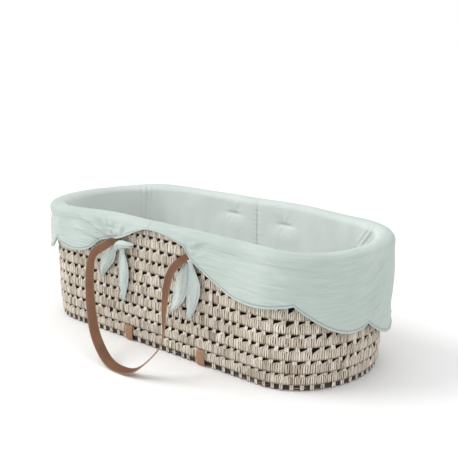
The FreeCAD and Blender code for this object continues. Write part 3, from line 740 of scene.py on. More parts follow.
# The hem is a chain of Beziers: each stretch has two pulling points and its end, which starts the next. A point is the
# distance round from the middle of the front, and the height. Pointed notches are where stretches meet at an angle.
hem_start = (0.000, 0.2505)
hem_stretches = [
    ((0.045, 0.2505), (0.075, 0.2400), (0.096, 0.2310)), ((0.104, 0.2050), (0.150, 0.1880), (0.190, 0.1685)),
    ((0.225, 0.1500), (0.275, 0.1500), (0.335, 0.1655)), ((0.375, 0.1350), (0.435, 0.0880), (0.486, 0.1190)),
    ((0.520, 0.0900), (0.575, 0.0660), (0.615, 0.0980)), ((0.650, 0.0850), (0.690, 0.1200), (0.715, 0.1580)),
    ((0.760, 0.1480), (0.800, 0.1600), (0.839, 0.1780)), ((0.910, 0.2050), (0.950, 0.2505), (1.029, 0.2505)),
    ((1.100, 0.2505), (1.140, 0.2050), (1.210, 0.1820)), ((1.260, 0.1600), (1.320, 0.1600), (1.360, 0.1720)),
    ((1.410, 0.1400), (1.460, 0.1300), (1.500, 0.1520)), ((1.550, 0.1280), (1.600, 0.1280), (1.640, 0.1550)),
    ((1.680, 0.1450), (1.735, 0.1500), (1.764, 0.1900)), ((1.785, 0.1660), (1.850, 0.1620), (1.888, 0.1960)),
    ((1.905, 0.2110), (1.935, 0.2130), (1.957, 0.2183)), ((1.985, 0.2260), (2.020, 0.2505), (liner.round, 0.2505)),
]
hem_notches = [0.335, 0.486, 0.615, 0.715, 1.360, 1.500, 1.640, 1.764]


def bezier(corners, t):
    """Cubic Bezier through the first and last corner, pulled by the other two."""
    a, b, c, d = np.asarray(corners, float)
    t = t[:, None]
    return a * (1 - t) ** 3 + 3 * b * t * (1 - t) ** 2 + 3 * c * t**2 * (1 - t) + d * t**3


begins = [hem_start] + [stretch[-1] for stretch in hem_stretches]
hem_line = np.concatenate([
    bezier((begin, *stretch), np.linspace(0, 1, 40)) for begin, stretch in zip(begins, hem_stretches)
])


def hem_height(walked):
    return np.interp(np.mod(walked, liner.round), hem_line[:, 0], hem_line[:, 1])


def roll_level(walked):
    """Height of the roll's middle line: level along the sides and a little lower round the ends."""
    point, _ = liner.at(walked)
    top = roll_middle - (roll_middle - roll_ends) * smooth_step(np.abs(point[..., 0]), 0.12, 0.40)
    return top - roll_rise


def nearest(walked, spot):
    """Signed distance round the basket to a spot, the short way."""
    return np.mod(walked - spot + half_round, liner.round) - half_round


print(f"hem from {hem_line[:, 1].min():.3f} to {hem_line[:, 1].max():.3f} m high")

# %% [markdown]
# ## Folds in the gauze
# Gauze tells how it is held. Fine creases run along the skirt, gathers fan out from the ties, a short pucker stands
# over each notch of the hem, and the wall is pulled in where a tuft is sewn. Each is its own small function of the
# two distances, so they can be read and changed one at a time.


# %% Folds of the skirt
# Each long fold: where it starts, its direction in degrees (0 is on round the basket), its length and its depth.
front_folds = [
    (1.938, 0.2130, 167, 0.135, 0.0056), (1.905, 0.2050, 174, 0.110, 0.0042), (1.944, 0.2190, 123, 0.042, 0.0036),
    (1.948, 0.2150, 150, 0.080, 0.0034), (1.962, 0.2180, 62, 0.036, 0.0024), (0.104, 0.2280, 25, 0.080, 0.0018),
    (0.486, 0.1230, 52, 0.070, 0.0018), (0.500, 0.1180, 38, 0.080, 0.0016), (0.470, 0.1280, 66, 0.060, 0.0012),
]
fold_lines = front_folds + [(spot + half_round, *rest) for spot, *rest in front_folds[:6]]
# Each tie's gathers: where round the basket, how far they reach, how deep they are, and their seed.
tie_height = 0.212
tie_gathers = [
    (-0.112, 0.050, 0.0020, 31), (0.108, 0.040, 0.0014, 32),
    (half_round - 0.112, 0.050, 0.0020, 33), (half_round + 0.108, 0.040, 0.0014, 34),
]


def climb(walked):
    """How much the creases rise here, in metres: a bell curve at each end of the basket, where they sweep upwards."""
    return 0.055 * bell(nearest(walked, 0.605), 0.105) + 0.012 * bell(nearest(walked, 1.55), 0.1)


def crinkle(walked, below, seed, strength):
    """Fine creases along the skirt: sines across it, whose phase and strength wander as they go round."""
    rng = np.random.default_rng(seed)
    whole = 2 * math.pi * walked / liner.round
    across = 2 * math.pi * (below + climb(walked))
    total = 0
    for wave in (0.0052, 0.0066, 0.0083, 0.0105, 0.0135):
        n, m = rng.integers(2, 7), rng.integers(5, 16)
        first, second, third = rng.uniform(0, 2 * math.pi, 3)
        wander = first + 1.1 * np.sin(n * whole + second)
        total = total + wave * np.sin(across / wave + wander) * (0.55 + 0.45 * np.sin(m * whole + third))
    return strength * total / 0.02


def gathers(walked, z, spot, reach, strength, seed):
    """Folds that fan out from a tie: sines of the direction seen from it, strongest a little way off."""
    rng = np.random.default_rng(seed)
    along, up = nearest(walked, spot), z - tie_height
    far = np.hypot(along, up) + 1e-6
    way = np.arctan2(up, along)
    fan = sum(np.sin(k * way + rng.uniform(0, 2 * math.pi)) / k**0.5 for k in (5, 8, 11, 15))
    return strength * fan * np.exp(-far / reach) * smooth_step(far, 0.002, 0.022) * 1.6


def long_folds(walked, z):
    """Long straight folds: a hollow with a ridge above it, along a line from one end. They widen as they go."""
    total = 0
    for spot, height, degrees, length, depth in fold_lines:
        way = math.radians(degrees)
        across, up = nearest(walked, spot), z - height
        along = across * math.cos(way) + up * math.sin(way)
        beside = (up * math.cos(way) - across * math.sin(way)) * math.copysign(1, math.cos(way))
        wide = 0.0030 + 0.045 * np.clip(along, 0, length)
        fade = smooth_step(along, -0.004, 0.014) * (1 - smooth_step(along, 0.55 * length, length))
        total = total + depth * fade * (0.8 * bell(beside - 1.9 * wide, 1.3 * wide) - bell(beside, wide))
    return total


def notch_puckers(walked, z):
    """A short ridge with a hollow on each side over every notch of the hem, dying out on the way up."""
    total = 0
    for notch in hem_notches:
        up = z - hem_height(notch)
        lean = nearest(walked, notch) - 0.25 * up
        fade = np.exp(-np.clip(up, 0, 1) / 0.013) * smooth_step(-np.abs(up), -0.06, 0)
        total = total + (0.0010 * bell(lean, 0.024) - 0.0022 * bell(lean, 0.008)) * fade
    return total


def skirt_relief(walked, z, below):
    """Everything that moves the skirt outwards from its plain outline, in metres."""
    share = walked / liner.round
    hem_gap = z - hem_height(walked)
    near_end = bell(nearest(walked, 0.57), 0.10)
    waist = (0.0026 * near_end - 0.0030) * bell(below - 0.016, 0.010) * smooth_step(hem_gap, 0.01, 0.05)
    belly = 0.0022 * np.sin(math.pi * np.clip(below / 0.12, 0, 1))
    wavy_hem = 0.0026 * ripples(share, z, 21, 5, (6, 17), (0.2, 0.5)) * np.exp(-hem_gap / 0.04)
    flare = 0.0024 * np.exp(-hem_gap / 0.012) + wavy_hem
    slow = 0.0007 * ripples(share, below, 22, 9, (5, 22), (0.12, 0.5)) * smooth_step(below, 0, 0.02)
    ties = sum(gathers(walked, z, *tie) for tie in tie_gathers) + long_folds(walked, z)
    ties = np.maximum(ties, -0.0022) * smooth_step(below, -0.004, 0.008)
    fine = crinkle(walked, below, 23, 0.00058) * (1 + 0.5 * near_end) * smooth_step(below, -0.002, 0.015)
    return waist + belly + flare + slow + ties + fine + notch_puckers(walked, z)


print(len(fold_lines), "long folds,", len(tie_gathers), "fans of gathers")

# %% Folds of the padded wall
tufts = [(1.077, 0.2255), (0.925, 0.2200), (0.048, 0.2255), (-0.104, 0.2200)]
wall_seams = [1.003, 1.003 + half_round]
# Creases where the padding bends: place, distance between creases, lean, width of the group, height where they end.
crease_groups = [
    (0.690, 0.017, 1.05, 0.018, 0.195), (1.373, 0.016, 0.15, 0.016, 0.14),
    (0.395, 0.020, 0.2, 0.03, 0.12), (1.660, 0.018, -0.3, 0.03, 0.12),
]


def wall_relief(walked, z):
    """How far the padded wall stands in from its plain outline, in metres. Tufts and seams pull it back."""
    share = walked / liner.round
    total = 0.0011 * ripples(share, z, 41, 9, (4, 15), (0.10, 0.30))
    total = total + 0.00045 * ripples(share, z, 42, 9, (16, 48), (0.05, 0.4))
    for i, (spot, height) in enumerate(tufts):
        along, up = nearest(walked, spot), z - height
        far = np.hypot(along, up) + 1e-6
        slit = -0.0050 * bell(along, 0.019) * bell(up + 1.5 * along**2, 0.0030)
        dish = -0.0024 * bell(along, 0.034) * bell(up - 0.004, 0.012)
        rays = 0.0009 * np.sin(7 * np.arctan2(up, along) + 1.2 * i) * np.exp(-far / 0.020)
        cushion = 0.0026 * bell(along, 0.034) * bell(up + 0.028, 0.018)
        total = total + slit + dish + rays * smooth_step(far, 0.004, 0.014) + cushion
    for spot in wall_seams:
        along = nearest(walked, spot)
        groove = -0.0010 * (bell(along, 0.0014) + bell(along, 0.010))
        total = total + groove + 0.0004 * np.sin(2 * math.pi * z / 0.011) * bell(along, 0.012)
    for spot, wave, lean, width, end in crease_groups:
        along = nearest(walked, spot) + lean * (z - 0.229)
        fade = bell(along, width) * smooth_step(z, end, end + 0.03)
        total = total + 0.0019 * np.sin(2 * math.pi * along / wave) * fade
    return np.clip(total, -0.0055, 0.0021)


print(len(tufts), "tufts and", len(wall_seams), "seams in the wall")


# %% Rows of the liner
def liner_columns():
    """Distances round the basket: even, with extra ones beside each seam and notch so that they stay sharp."""
    even = np.linspace(0, liner.round, 730, endpoint=False)
    close = np.array([-0.0024, -0.0012, 0.0, 0.0012, 0.0024])
    extra = (np.array([*hem_notches, *wall_seams])[:, None] + close[None, :]).ravel()
    return np.unique(np.mod(np.concatenate([even, extra]), liner.round).round(5))[None, :]


def over_rim(walked, h, e, z):
    """Rows of points: in plan, the wall's outline at h = 0 and the liner's at h = 1, then e outwards; at height z."""
    walked, h, e, z = np.broadcast_arrays(walked, h, e, z)
    inner, out = wall.at(walked / liner.round * wall.round)
    outer, _ = liner.at(walked)
    return stack(inner + (outer - inner) * h[..., None] + out * e[..., None], z)


def by_rows(columns, *groups):
    """One value for each point, from groups of rows: each is (number of rows, value or array that broadcasts)."""
    return np.concatenate([np.broadcast_to(value, (rows, columns)) for rows, value in groups])


print("row helpers ready")


# %% Skirt, roll and padded wall
def make_skirt(s):
    """Skirt and roll: up from the hem, over the roll to its inner side, then back underneath, as one closed skin."""
    middle = roll_level(s)
    height = middle - hem_height(s)
    near_hem = np.array([0, 0.0007, 0.0018, 0.0032, 0.0043, 0.0052, 0.0061, 0.0074])[:, None]
    shrink = np.minimum(1, height / 0.022)
    low_rows = hem_height(s) + near_hem * shrink
    high_rows = low_rows[-1:] + (middle - low_rows[-1:]) * np.linspace(0, 1, 68)[1:, None]
    z = np.concatenate([low_rows, high_rows])
    below = middle - z
    hem_gap = (z - hem_height(s)) / shrink
    stitches = bell(hem_gap - hem_seam, hem_seam_width)
    rounding = 0.0007 * bell(hem_gap - 0.0022, 0.0022) - 0.0010 * stitches
    rounding = rounding - 0.0016 * (1 - smooth_step(hem_gap, 0.0, 0.0016))
    outside = over_rim(s, 1, skirt_relief(s, z, below) + rounding, z)

    angle = np.linspace(0, math.pi, 30)[1:, None]
    plump = 0.0011 * ripples(s / liner.round, angle * 0.012, 51, 8, (2, 13), (0.05, 0.3))
    fine = crinkle(s, -0.016 * angle, 23, 0.00026) * np.cos(angle / 2) ** 2
    swell = (plump + fine) * np.sin(angle)
    reach = 0.5 + 0.5 * np.cos(angle)
    edge = skirt_relief(s, middle, 0 * s)
    inside = pad_inner - wall_relief(s, middle)
    roll_e = edge * reach + inside * (1 - reach) + swell * np.cos(angle)
    roll = over_rim(s, reach, roll_e, middle + (roll_rise + swell) * np.sin(angle))

    over_palm = np.maximum(middle, rim_top)
    shelf = [
        over_rim(s, 0, inside + 0.00006, middle - 0.0006), over_rim(s, 0, pad_inner + 0.0060, middle - 0.0006),
        over_rim(s, 0, -0.0070, over_palm), over_rim(s, 0.5, 0, over_palm + 0.001), over_rim(s, 1, -0.006, over_palm),
    ]
    low_edge = hem_height(s) + 0.0012 * shrink
    back_z = low_edge + (middle - 0.001 - low_edge) * np.linspace(1, 0, 12)[:, None]
    thick = skin * np.minimum(1, 0.45 + 0.55 * height / 0.03)
    lining = skirt_relief(s, np.maximum(back_z, low_edge), middle - back_z) * 0.9 - thick

    points = np.concatenate([outside, roll, *shelf, over_rim(s, 1, lining, back_z)])
    rows, columns = points.shape[:2]
    skirt, turn = len(z), len(angle)
    rest = rows - skirt - turn
    up = by_rows(columns, (skirt, -below), (turn, 0.016 * angle), (rest, 0.016 * math.pi)) - climb(s)
    sewn_and_shade = by_rows(columns, (skirt, 0.6 * stitches), (turn + rest, 0))
    # Painted shadow: the lining rows under the hem are darkened fully.
    sewn_and_shade[-10:] = 1.0
    crease = by_rows(columns, (skirt, 1), (turn, 0.22 + 0.78 * np.cos(angle / 2) ** 2), (rest, 0.22))
    # Painted light: the roll's inner side, the shelf and the lining get the paler inside cloth.
    within = by_rows(columns, (skirt, 0), (turn, smooth_step(angle, 1.2, math.pi)), (rest, 1))
    quads = grid_quads(rows, columns, close_rows=True, close_columns=True)
    values = {"seam": sewn_and_shade, "crease": crease, "within": within}
    piece = make_piece("liner_skirt_and_roll", points, quads, pair(s, up), **values)
    dress(piece, liner_cloth, "liner_fabric", "basket", "liner_skirt")
    return piece


def make_wall_pad(s):
    """Padded wall: down from the roll's inner side to the base pad, and back up behind as one closed skin."""
    middle = roll_level(s)
    z = middle + (pad_bottom - middle) * np.linspace(0, 1, 84)[:, None] ** 1.08
    rounding = 0.003 * (1 - smooth_step(z, pad_bottom, pad_bottom + 0.005))
    front_e = pad_inner - wall_relief(s, z) + rounding
    back_z = middle - 0.0010 + (pad_bottom + 0.0010 - middle) * np.linspace(1, 0, 8)[:, None]
    points = np.concatenate([
        over_rim(s, 0, front_e, z), over_rim(s, 0, pad_back, back_z),
        over_rim(s, 0, front_e[:1] + 0.00010, middle + 0.0003),
    ])
    rows, columns = points.shape[:2]
    up = 0.3 - np.concatenate([z, back_z, middle])
    sewn_and_shade = 0.45 * sum(bell(nearest(s, spot), 0.0010) for spot in wall_seams)
    # Painted shade in the slit of each tuft.
    for spot, height in tufts:
        sewn_and_shade = sewn_and_shade + 0.5 * bell(nearest(s, spot), 0.015) * bell(z - height, 0.0016)
    sewn_and_shade = np.clip(by_rows(columns, (len(z), sewn_and_shade), (rows - len(z), 0)), 0, 1)
    quads = grid_quads(rows, columns, close_rows=True, close_columns=True)
    # Painted light: the whole padded wall gets the paler inside cloth.
    values = {"seam": sewn_and_shade, "crease": np.full((rows, columns), 0.22), "within": np.ones((rows, columns))}
    piece = make_piece("liner_padded_wall", points, quads, pair(s, up), **values)
    dress(piece, liner_cloth, "liner_fabric", "basket", "liner_wall_pad")
    return piece


columns = liner_columns()
for piece in (make_skirt(columns), make_wall_pad(columns)):
    print(piece.name, 2 * len(piece.data.polygons), "triangles")

# %% [markdown]
# ## Leather straps and carrying handles
# Two long straps hold the basket up. Each passes under the base, in through a slot over the first course, up inside
# the wall and out again through a slot under the rim. There it becomes the handle, which hangs out and down in a
# twisted U. Leather bands don't stretch, so each is one flat section carried along a route, turned so that its face
# follows the fold.


# %% Carry a band along a route
leather_thickness = 0.0025
# A band's section: places across it from -1 to 1, and how far its surface stands out there, on both faces.
band_across = np.array([-1, -0.86, -0.5, 0, 0.5, 0.86, 1, 1, 0.86, 0.5, 0, -0.5, -0.86, -1])
band_lift = np.array([0.35, 0.9, 1.0, 1.04, 1.0, 0.9, 0.35, -0.35, -0.9, -1, -1, -1, -0.9, -0.35])


def smooth_route(corners, count):
    """Even points along a Catmull-Rom line: a cubic through the corners, with tangents from the neighbours."""
    corners = np.asarray(corners, float)
    ends = np.concatenate([2 * corners[:1] - corners[1:2], corners, 2 * corners[-1:] - corners[-2:-1]])
    t = np.linspace(0, 1, 24, endpoint=False)[None, :, None]
    p0, p1, p2, p3 = (ends[i : len(ends) - 3 + i, None, :] for i in range(4))
    bend, twist = 2 * p0 - 5 * p1 + 4 * p2 - p3, 3 * p1 - p0 - 3 * p2 + p3
    dense = 0.5 * (2 * p1 + (p2 - p0) * t + bend * t**2 + twist * t**3)
    dense = np.concatenate([dense.reshape(-1, corners.shape[1]), corners[-1:]])
    walked = np.concatenate([[0], np.cumsum(np.linalg.norm(np.diff(dense[:, :3], axis=0), axis=1))])
    even = np.linspace(0, walked[-1], count)
    return np.stack([np.interp(even, walked, column) for column in dense.T], -1), walked[-1]


def unit(vectors):
    return vectors / np.linalg.norm(vectors, axis=-1, keepdims=True)


def make_band(name, route, face, length, finish):
    """Closed band: a flat section with rounded edges and a shallow crown on its outer face, carried along the route.
    The point value edge is 1 on the cut edges, and flesh is 1 on the inner face."""
    way = unit(np.gradient(route, axis=0))
    face = unit(face - (face * way).sum(-1, keepdims=True) * way)
    across = np.cross(way, face)
    beside = (band_across * strap_width / 2)[None, :]
    points = route[:, None, :] + across[:, None, :] * beside[..., None]
    points = points + face[:, None, :] * (band_lift * leather_thickness / 2)[None, :, None]
    shape = points.shape[:2]
    edge = np.broadcast_to(smooth_step(np.abs(band_across), 0.84, 1.0) * 0.8, shape)
    flesh = np.broadcast_to((band_lift < 0).astype(float), shape)
    uv = pair(beside, np.linspace(0, length, shape[0])[:, None])
    piece = make_piece(name, points, tube_quads(1, *shape), uv, edge=edge, flesh=flesh)
    piece.data.materials.append(finish)
    return piece


print("band helper ready")

# %% Route of a handle
hinge_out, hinge_height = 0.181, 0.214
handle_slope = math.radians(25.8)
# The front handle's mesh turned half round the upright axis is the rear one.
half_turn = np.array([-1, -1, 1])
# Distance along the basket and distance below the hinge, in the plane that the handle hangs in.
handle_corners = np.array([
    (-0.110, 0.010), (-0.138, 0.036), (-0.131, 0.076), (-0.100, 0.135), (-0.062, 0.187), (-0.010, 0.2245),
    (0.034, 0.2318), (0.070, 0.221), (0.103, 0.180), (0.109, 0.150), (0.092, 0.102), (0.080, 0.056),
    (0.080, 0.030), (0.091, 0.010),
])
# Share of the handle's length, and how far its face has turned into the U there, in degrees.
twist_along_handle = [(0, 0), (0.1, 4), (0.25, 16), (0.42, 34), (0.54, 46), (0.64, 56), (0.74, 38), (0.85, 8), (1, 0)]


def handle_route():
    """From the left slot, out under the hem, down round the U and back into the right slot. x, y, z in metres."""
    down = np.array([0, -math.sin(handle_slope), -math.cos(handle_slope)])
    hung = np.array([0, -hinge_out, hinge_height]) + handle_corners[:, 1:] * down
    hung[:, 0] = handle_corners[:, 0]
    left = [(-0.090, -0.1550, 0.2345), (-0.091, -0.1622, 0.2300), (-0.095, -0.1636, 0.2225), (-0.102, -0.1712, 0.2130)]
    right = [(0.098, -0.1712, 0.2130), (0.104, -0.1636, 0.2225), (0.105, -0.1622, 0.2300), (0.105, -0.1550, 0.2345)]
    return np.concatenate([left, hung, right])


def handle_face(route):
    """The band's outer face looks outwards at both ends and turns into the U towards the bottom, where a flat band
    has to bend. The turn isn't the same on both legs, because the handle has flopped to one side."""
    outwards = np.array([0, -math.cos(handle_slope), math.sin(handle_slope)])
    way = unit(np.gradient(route, axis=0))
    into_loop = unit(np.cross(outwards, way))
    turns = smooth_route(twist_along_handle, 400)[0]
    twist = np.radians(np.interp(np.linspace(0, 1, len(route)), turns[:, 0], turns[:, 1]))[:, None]
    return outwards * np.cos(twist) + into_loop * np.sin(twist)


route, length = smooth_route(handle_route(), 150)
for name, y, turn in (("front", -1, 1), ("rear", 1, half_turn)):
    piece = make_band(f"leather_handle_{name}", route * turn, handle_face(route) * turn, length, leather)
    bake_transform(piece)
    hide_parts(f"handle_{name}")
print(f"each handle shows {length * 1000:.0f} mm of leather")


# %% Straps that go round the basket
def make_strap(name, place):
    """From slot to slot under the base. The run inside the wall slants, because the lower slot is further along."""
    low = place + strap_drift
    under = (low, 0.1200, 0.0014)
    side = np.array([
        (place, 0.1540, 0.2340), (place, 0.1495, 0.2330), (place, 0.1485, 0.2270),
        (place + strap_drift * 0.5, 0.1485, 0.1330), (low, 0.1485, 0.0420), (low, 0.1488, 0.0350),
        (low, 0.1530, 0.0330), (low, 0.1580, 0.0325), (low, 0.1612, 0.0285), (low, 0.1620, 0.0180),
        (low, 0.1612, 0.0070), (low, 0.1590, 0.0024), (low, 0.1530, 0.0014), under,
    ])
    middle = np.array(under) * [(1, -0.5, 1), (1, 0, 1), (1, 0.5, 1)]
    route, length = smooth_route(np.concatenate([side * (1, -1, 1), middle, side[::-1]]), 420)
    face = np.cross(unit(np.gradient(route, axis=0)), np.array([1.0, 0, 0]))
    piece = make_band(f"leather_{name}", route, face, length, tan_leather)
    dress(piece, None, "leather", "basket", name)
    print(f"{name}: {length * 1000:.0f} mm of leather")


for name, place in zip(("strap_left", "strap_right"), strap_places):
    make_strap(name, place)

# %% [markdown]
# ## Ties
# Each corner of the skirt's arch is tied round the strap with two tails of the same gauze. A tail is a flat tube of
# cloth cut to a point, so here it is a leaf with a soft fold along it, thin and closed. Its width follows its length,
# and its middle line bends a little, as cloth that has been tied does.

# %% Measures of the ties
tie_face = 0.1655
# Each tail: name, knot end x and z, tip x and z, widest width, depth of its fold, how far it bows to the side.
tie_tails = [
    ("left_outer", (-0.093, 0.208), (-0.150, 0.126), 0.034, 0.0055, -0.006),
    ("left_inner", (-0.079, 0.200), (-0.085, 0.084), 0.032, 0.0045, 0.003),
    ("right_inner", (0.1015, 0.2045), (0.053, 0.094), 0.036, 0.0055, 0.004),
    ("right_outer", (0.1065, 0.2110), (0.100, 0.090), 0.036, 0.0040, 0.009),
]
# Each knot is a few lobes of tied cloth: one end, the other end, half thickness, and how far the lobe stands out.
tie_knots = [
    ("left", [
        ((-0.104, 0.2025), (-0.0440, 0.2135), 0.0068, 0.0024), ((-0.101, 0.1970), (-0.0530, 0.2060), 0.0048, 0.0000),
        ((-0.0985, 0.2100), (-0.0950, 0.1915), 0.0062, 0.0045),
    ]),
    ("right", [((0.1040, 0.2115), (0.1130, 0.2010), 0.0070, 0.0000)]),
]
print(len(tie_tails), "tails and", len(tie_knots), "knots on each side")


# %% Tie tails
def along_line(first, last, v, beside):
    """Points (x, z) from first to last at share v, moved square to the line."""
    first, last = np.array(first), np.array(last)
    way = (last - first) / np.linalg.norm(last - first)
    return first + (last - first) * v[..., None] + np.array([-way[1], way[0]]) * beside[..., None]


def upright_points(plan, out):
    """Points in space from (x, z) pairs and how far out from the basket's middle line they stand, to the front."""
    return np.stack([plan[..., 0], -out, plan[..., 1]], -1)


def make_tail(name, side, turn, start, tip, width, fold, bow, seed):
    """Closed leaf. Width: gathered at the knot, widest past the middle, drawn in to a point at the tip. Out of the
    wall: a fold along the middle line, and small crumples that fade towards the tip."""
    rng = np.random.default_rng(seed)
    rows, across = 60, 25
    v = np.linspace(0, 1, rows)[:, None]
    u = np.linspace(-1, 1, across)[None, :]
    swell = 0.38 + 0.62 * smooth_step(v, 0.0, 0.40)
    taper = np.clip(1 - np.clip((v - 0.40) / 0.60, 0, 1) ** 1.8, 0.002, 1) ** 0.85
    sag = bow * np.sin(math.pi * v) + 0.0012 * np.sin(2 * math.pi * (1.3 * v + rng.uniform()))
    plan = along_line(start, tip, v, u * width / 2 * swell * taper + sag)
    phases = rng.uniform(0, 2 * math.pi, 5)
    pleats = 0.0014 * (1 - smooth_step(v, 0.0, 0.35)) * np.sin(u * 7 + phases[0])
    crumple = 0.0007 * np.sin(u * 3.1 + 9 * v + phases[1]) + 0.0005 * np.sin(5 * u - 17 * v + phases[2])
    crumple = crumple + 0.00025 * np.sin(11 * u + 33 * v + phases[3])
    folded = 1 - np.abs(u + 0.25 * np.sin(3 * v + phases[4])) ** 0.8
    ridge = fold * folded * (0.4 + 0.6 * np.sin(math.pi * np.clip(v * 1.1, 0, 1)))
    out = tie_face + 0.0022 + ridge + pleats + crumple + 0.004 * (1 - v) ** 2
    half_thick = 0.0009 * np.sqrt(np.clip(1 - u**4, 0.05, 1)) + 0 * v
    hem = 0.0005 * bell(np.abs(u) - 0.86, 0.05)
    front, rear = upright_points(plan, out + half_thick + hem), upright_points(plan, out - half_thick)
    points = np.concatenate([front, rear[:, ::-1]], axis=1) * turn
    uv = pair(np.concatenate([u, u[:, ::-1]], 1) * width / 2, v * 0.11)
    sewn_and_shade = 0.6 * np.concatenate([bell(np.abs(u) - 0.74, 0.05) + 0 * v] * 2, 1)
    crease = np.full(points.shape[:2], 0.7)
    piece = make_piece(f"tie_{side}_{name}", points, tube_quads(1, rows, 2 * across), uv, seam=sewn_and_shade, crease=crease)
    dress(piece, lit_tie_cloth, "tie_fabric", "basket", f"tie_tail_{side}_{name}")


for side, turn in (("front", 1), ("back", half_turn)):
    for index, (name, *shape) in enumerate(tie_tails):
        make_tail(name, side, turn, *shape, 200 + index)
print("eight tails")


# %% Knots
def make_knot(name, side, turn, lobes, seed):
    """Each lobe is a plump closed band pulled tight: thick in the middle, thin at its far end, with slanting folds.
    Its half thickness is a superellipse along it times one plus a few sines of the way round."""
    rng = np.random.default_rng(seed)
    rings, around = 33, 28
    v, angle = np.linspace(0, 1, rings)[:, None], full_turn(around)
    body = np.sqrt(np.clip(1 - np.abs(2 * v - 1) ** 2.6, 0.0016, 1)) * (1 - 0.38 * smooth_step(v, 0.35, 1.0))
    solids = []
    for first, last, thick, lift in lobes:
        folds = 1 + 0.13 * np.sin(4 * angle + 9 * v + rng.uniform(0, 6)) + 0.05 * np.sin(9 * angle - 8 * v)
        plan = along_line(first, last, v, thick * body * folds * np.sin(angle) + 0.0022 * np.sin(math.pi * v))
        out = 0.1700 + lift * np.sin(math.pi * v) ** 0.5 + 0.0046 * body * folds * np.cos(angle)
        solids.append(upright_points(plan, out))
    points = np.concatenate(solids) * turn
    uv = np.tile(pair(angle * 0.006, v * 0.05), (len(lobes), 1, 1))
    flat = np.zeros(points.shape[:2])
    piece = make_piece(
        f"knot_{side}_{name}", points, tube_quads(len(lobes), rings, around), uv, seam=flat, crease=flat + 0.9
    )
    dress(piece, lit_tie_cloth, "tie_fabric", "basket", f"tie_knot_{side}_{name}")


for side, turn in (("front", 1), ("back", half_turn)):
    for index, (name, lobes) in enumerate(tie_knots):
        make_knot(name, side, turn, lobes, 300 + index)
print("four knots")

# %% [markdown]
# ## Mattress and base pad
# A foam slab in a cotton cover lies loose in the basket, on a thin quilted pad that belongs to the liner. Padded
# cotton is what a cloth simulation does well: the slab is remeshed, blown up a little with pressure, and the quilted
# lines are pressed in afterwards.


# %% A padded slab in the basket's outline
def slab_surface(offset, low, high, rounding, columns=220):
    """Closed slab: rings from the middle of the underside, out, round the edge, and in again on top."""
    edge = np.linspace(-math.pi / 2, math.pi / 2, 9)
    reach = np.concatenate([np.linspace(0.02, 1, 24)[:-1], np.ones(9), np.linspace(1, 0.02, 24)[1:]])
    inset = rounding * np.concatenate([np.ones(23), 1 - np.cos(edge), np.ones(23)])
    z = np.concatenate([np.full(23, low), low + rounding * (1 + np.sin(edge)), np.full(23, high)])
    z[28:32] += high - low - 2 * rounding
    z[27] = (low + high) / 2
    walked = np.linspace(0, wall.round, columns, endpoint=False)[None, :]
    point, out = wall.at(walked + 0 * reach[:, None])
    return stack((point + out * (offset - inset)[:, None, None]) * reach[:, None, None], z[:, None])


def quilting(x, y, spacing):
    """Depth of quilted diamonds: 0 in the middle of each, 1 in the sewn lines between."""
    lines = (np.abs(np.sin(math.pi * way / spacing)) for way in (x + y, x - y))
    return np.clip(sum(bell(line, 0.16) for line in lines), 0, 1)


def read_points(mesh):
    co = np.empty(3 * len(mesh.vertices), np.float32)
    mesh.vertices.foreach_get("co", co)
    return co.reshape(-1, 3)


def write_points(piece, points):
    piece.data.vertices.foreach_set("co", points.astype(np.float32).ravel())
    piece.data.update()


def blow_up(piece, pressure, most):
    """Cloth simulation: 20 frames of pressure without gravity, then no point is left further than most from home."""
    home = read_points(piece.data).astype(float)
    cloth = piece.modifiers.new("cloth", "CLOTH")
    cloth.settings.use_pressure = True
    cloth.settings.uniform_pressure_force = pressure
    cloth.settings.effector_weights.gravity = 0
    cloth.settings.quality = 4
    cloth.point_cache.frame_end = 20
    for step in range(1, 21):
        bpy.context.scene.frame_set(step)
    blown = read_points(piece.evaluated_get(bpy.context.evaluated_depsgraph_get()).data)
    piece.modifiers.remove(cloth)
    bpy.context.scene.frame_set(1)
    move = blown - home
    far = np.linalg.norm(move, axis=1, keepdims=True)
    write_points(piece, home + move * np.minimum(1, most / np.maximum(far, 1e-9)))


def remesh(piece, size):
    """Even faces all over, so that the cloth can swell the same way everywhere."""
    modifier = piece.modifiers.new("even", "REMESH")
    modifier.mode, modifier.voxel_size = "VOXEL", size
    modifier.use_smooth_shade = True
    mesh = bpy.data.meshes.new_from_object(piece.evaluated_get(bpy.context.evaluated_depsgraph_get()))
    piece.modifiers.remove(modifier)
    piece.data = mesh


print("slab helpers ready")


# %% Mattress, foam and base pad
def make_slab(name, node, offset, lift_low, lift_high, rounding, columns=220):
    """A slab that fills its node's height, less a little at the bottom and the top."""
    low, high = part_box(node)
    rings = slab_surface(offset, low.z + lift_low, high.z - lift_high, rounding, columns)
    return make_piece(name, rings, tube_quads(1, *rings.shape[:2]))


def make_mattress():
    """The cover: blown up, then pressed in along the quilted lines, which only its top has."""
    low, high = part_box("mattress_cover")
    piece = make_slab("quilted_mattress", "mattress_cover", -0.0180, 0.0012, 0.003, 0.010)
    remesh(piece, 0.006)
    blow_up(piece, 4.0, 0.005)
    points = read_points(piece.data).astype(float)
    x, y, z = points.T
    top = smooth_step(z, high.z - 0.012, high.z - 0.004)
    points[:, 2] = np.clip(z, low.z, high.z + 0.002) - 0.0042 * top * quilting(x, y, 0.085)
    write_points(piece, points)
    finer = piece.modifiers.new("finer", "SUBSURF")
    finer.levels = finer.render_levels = 1
    for name, value in (("seam", 0.0), ("crease", 0.15)):
        attribute = piece.data.attributes.new(name, "FLOAT", "POINT")
        attribute.data.foreach_set("value", np.full(len(points), value, np.float32))
    dress(piece, mattress_cloth, "mattress_fabric", "mattress", "mattress_cover")
    print("mattress:", len(piece.data.polygons), "faces")


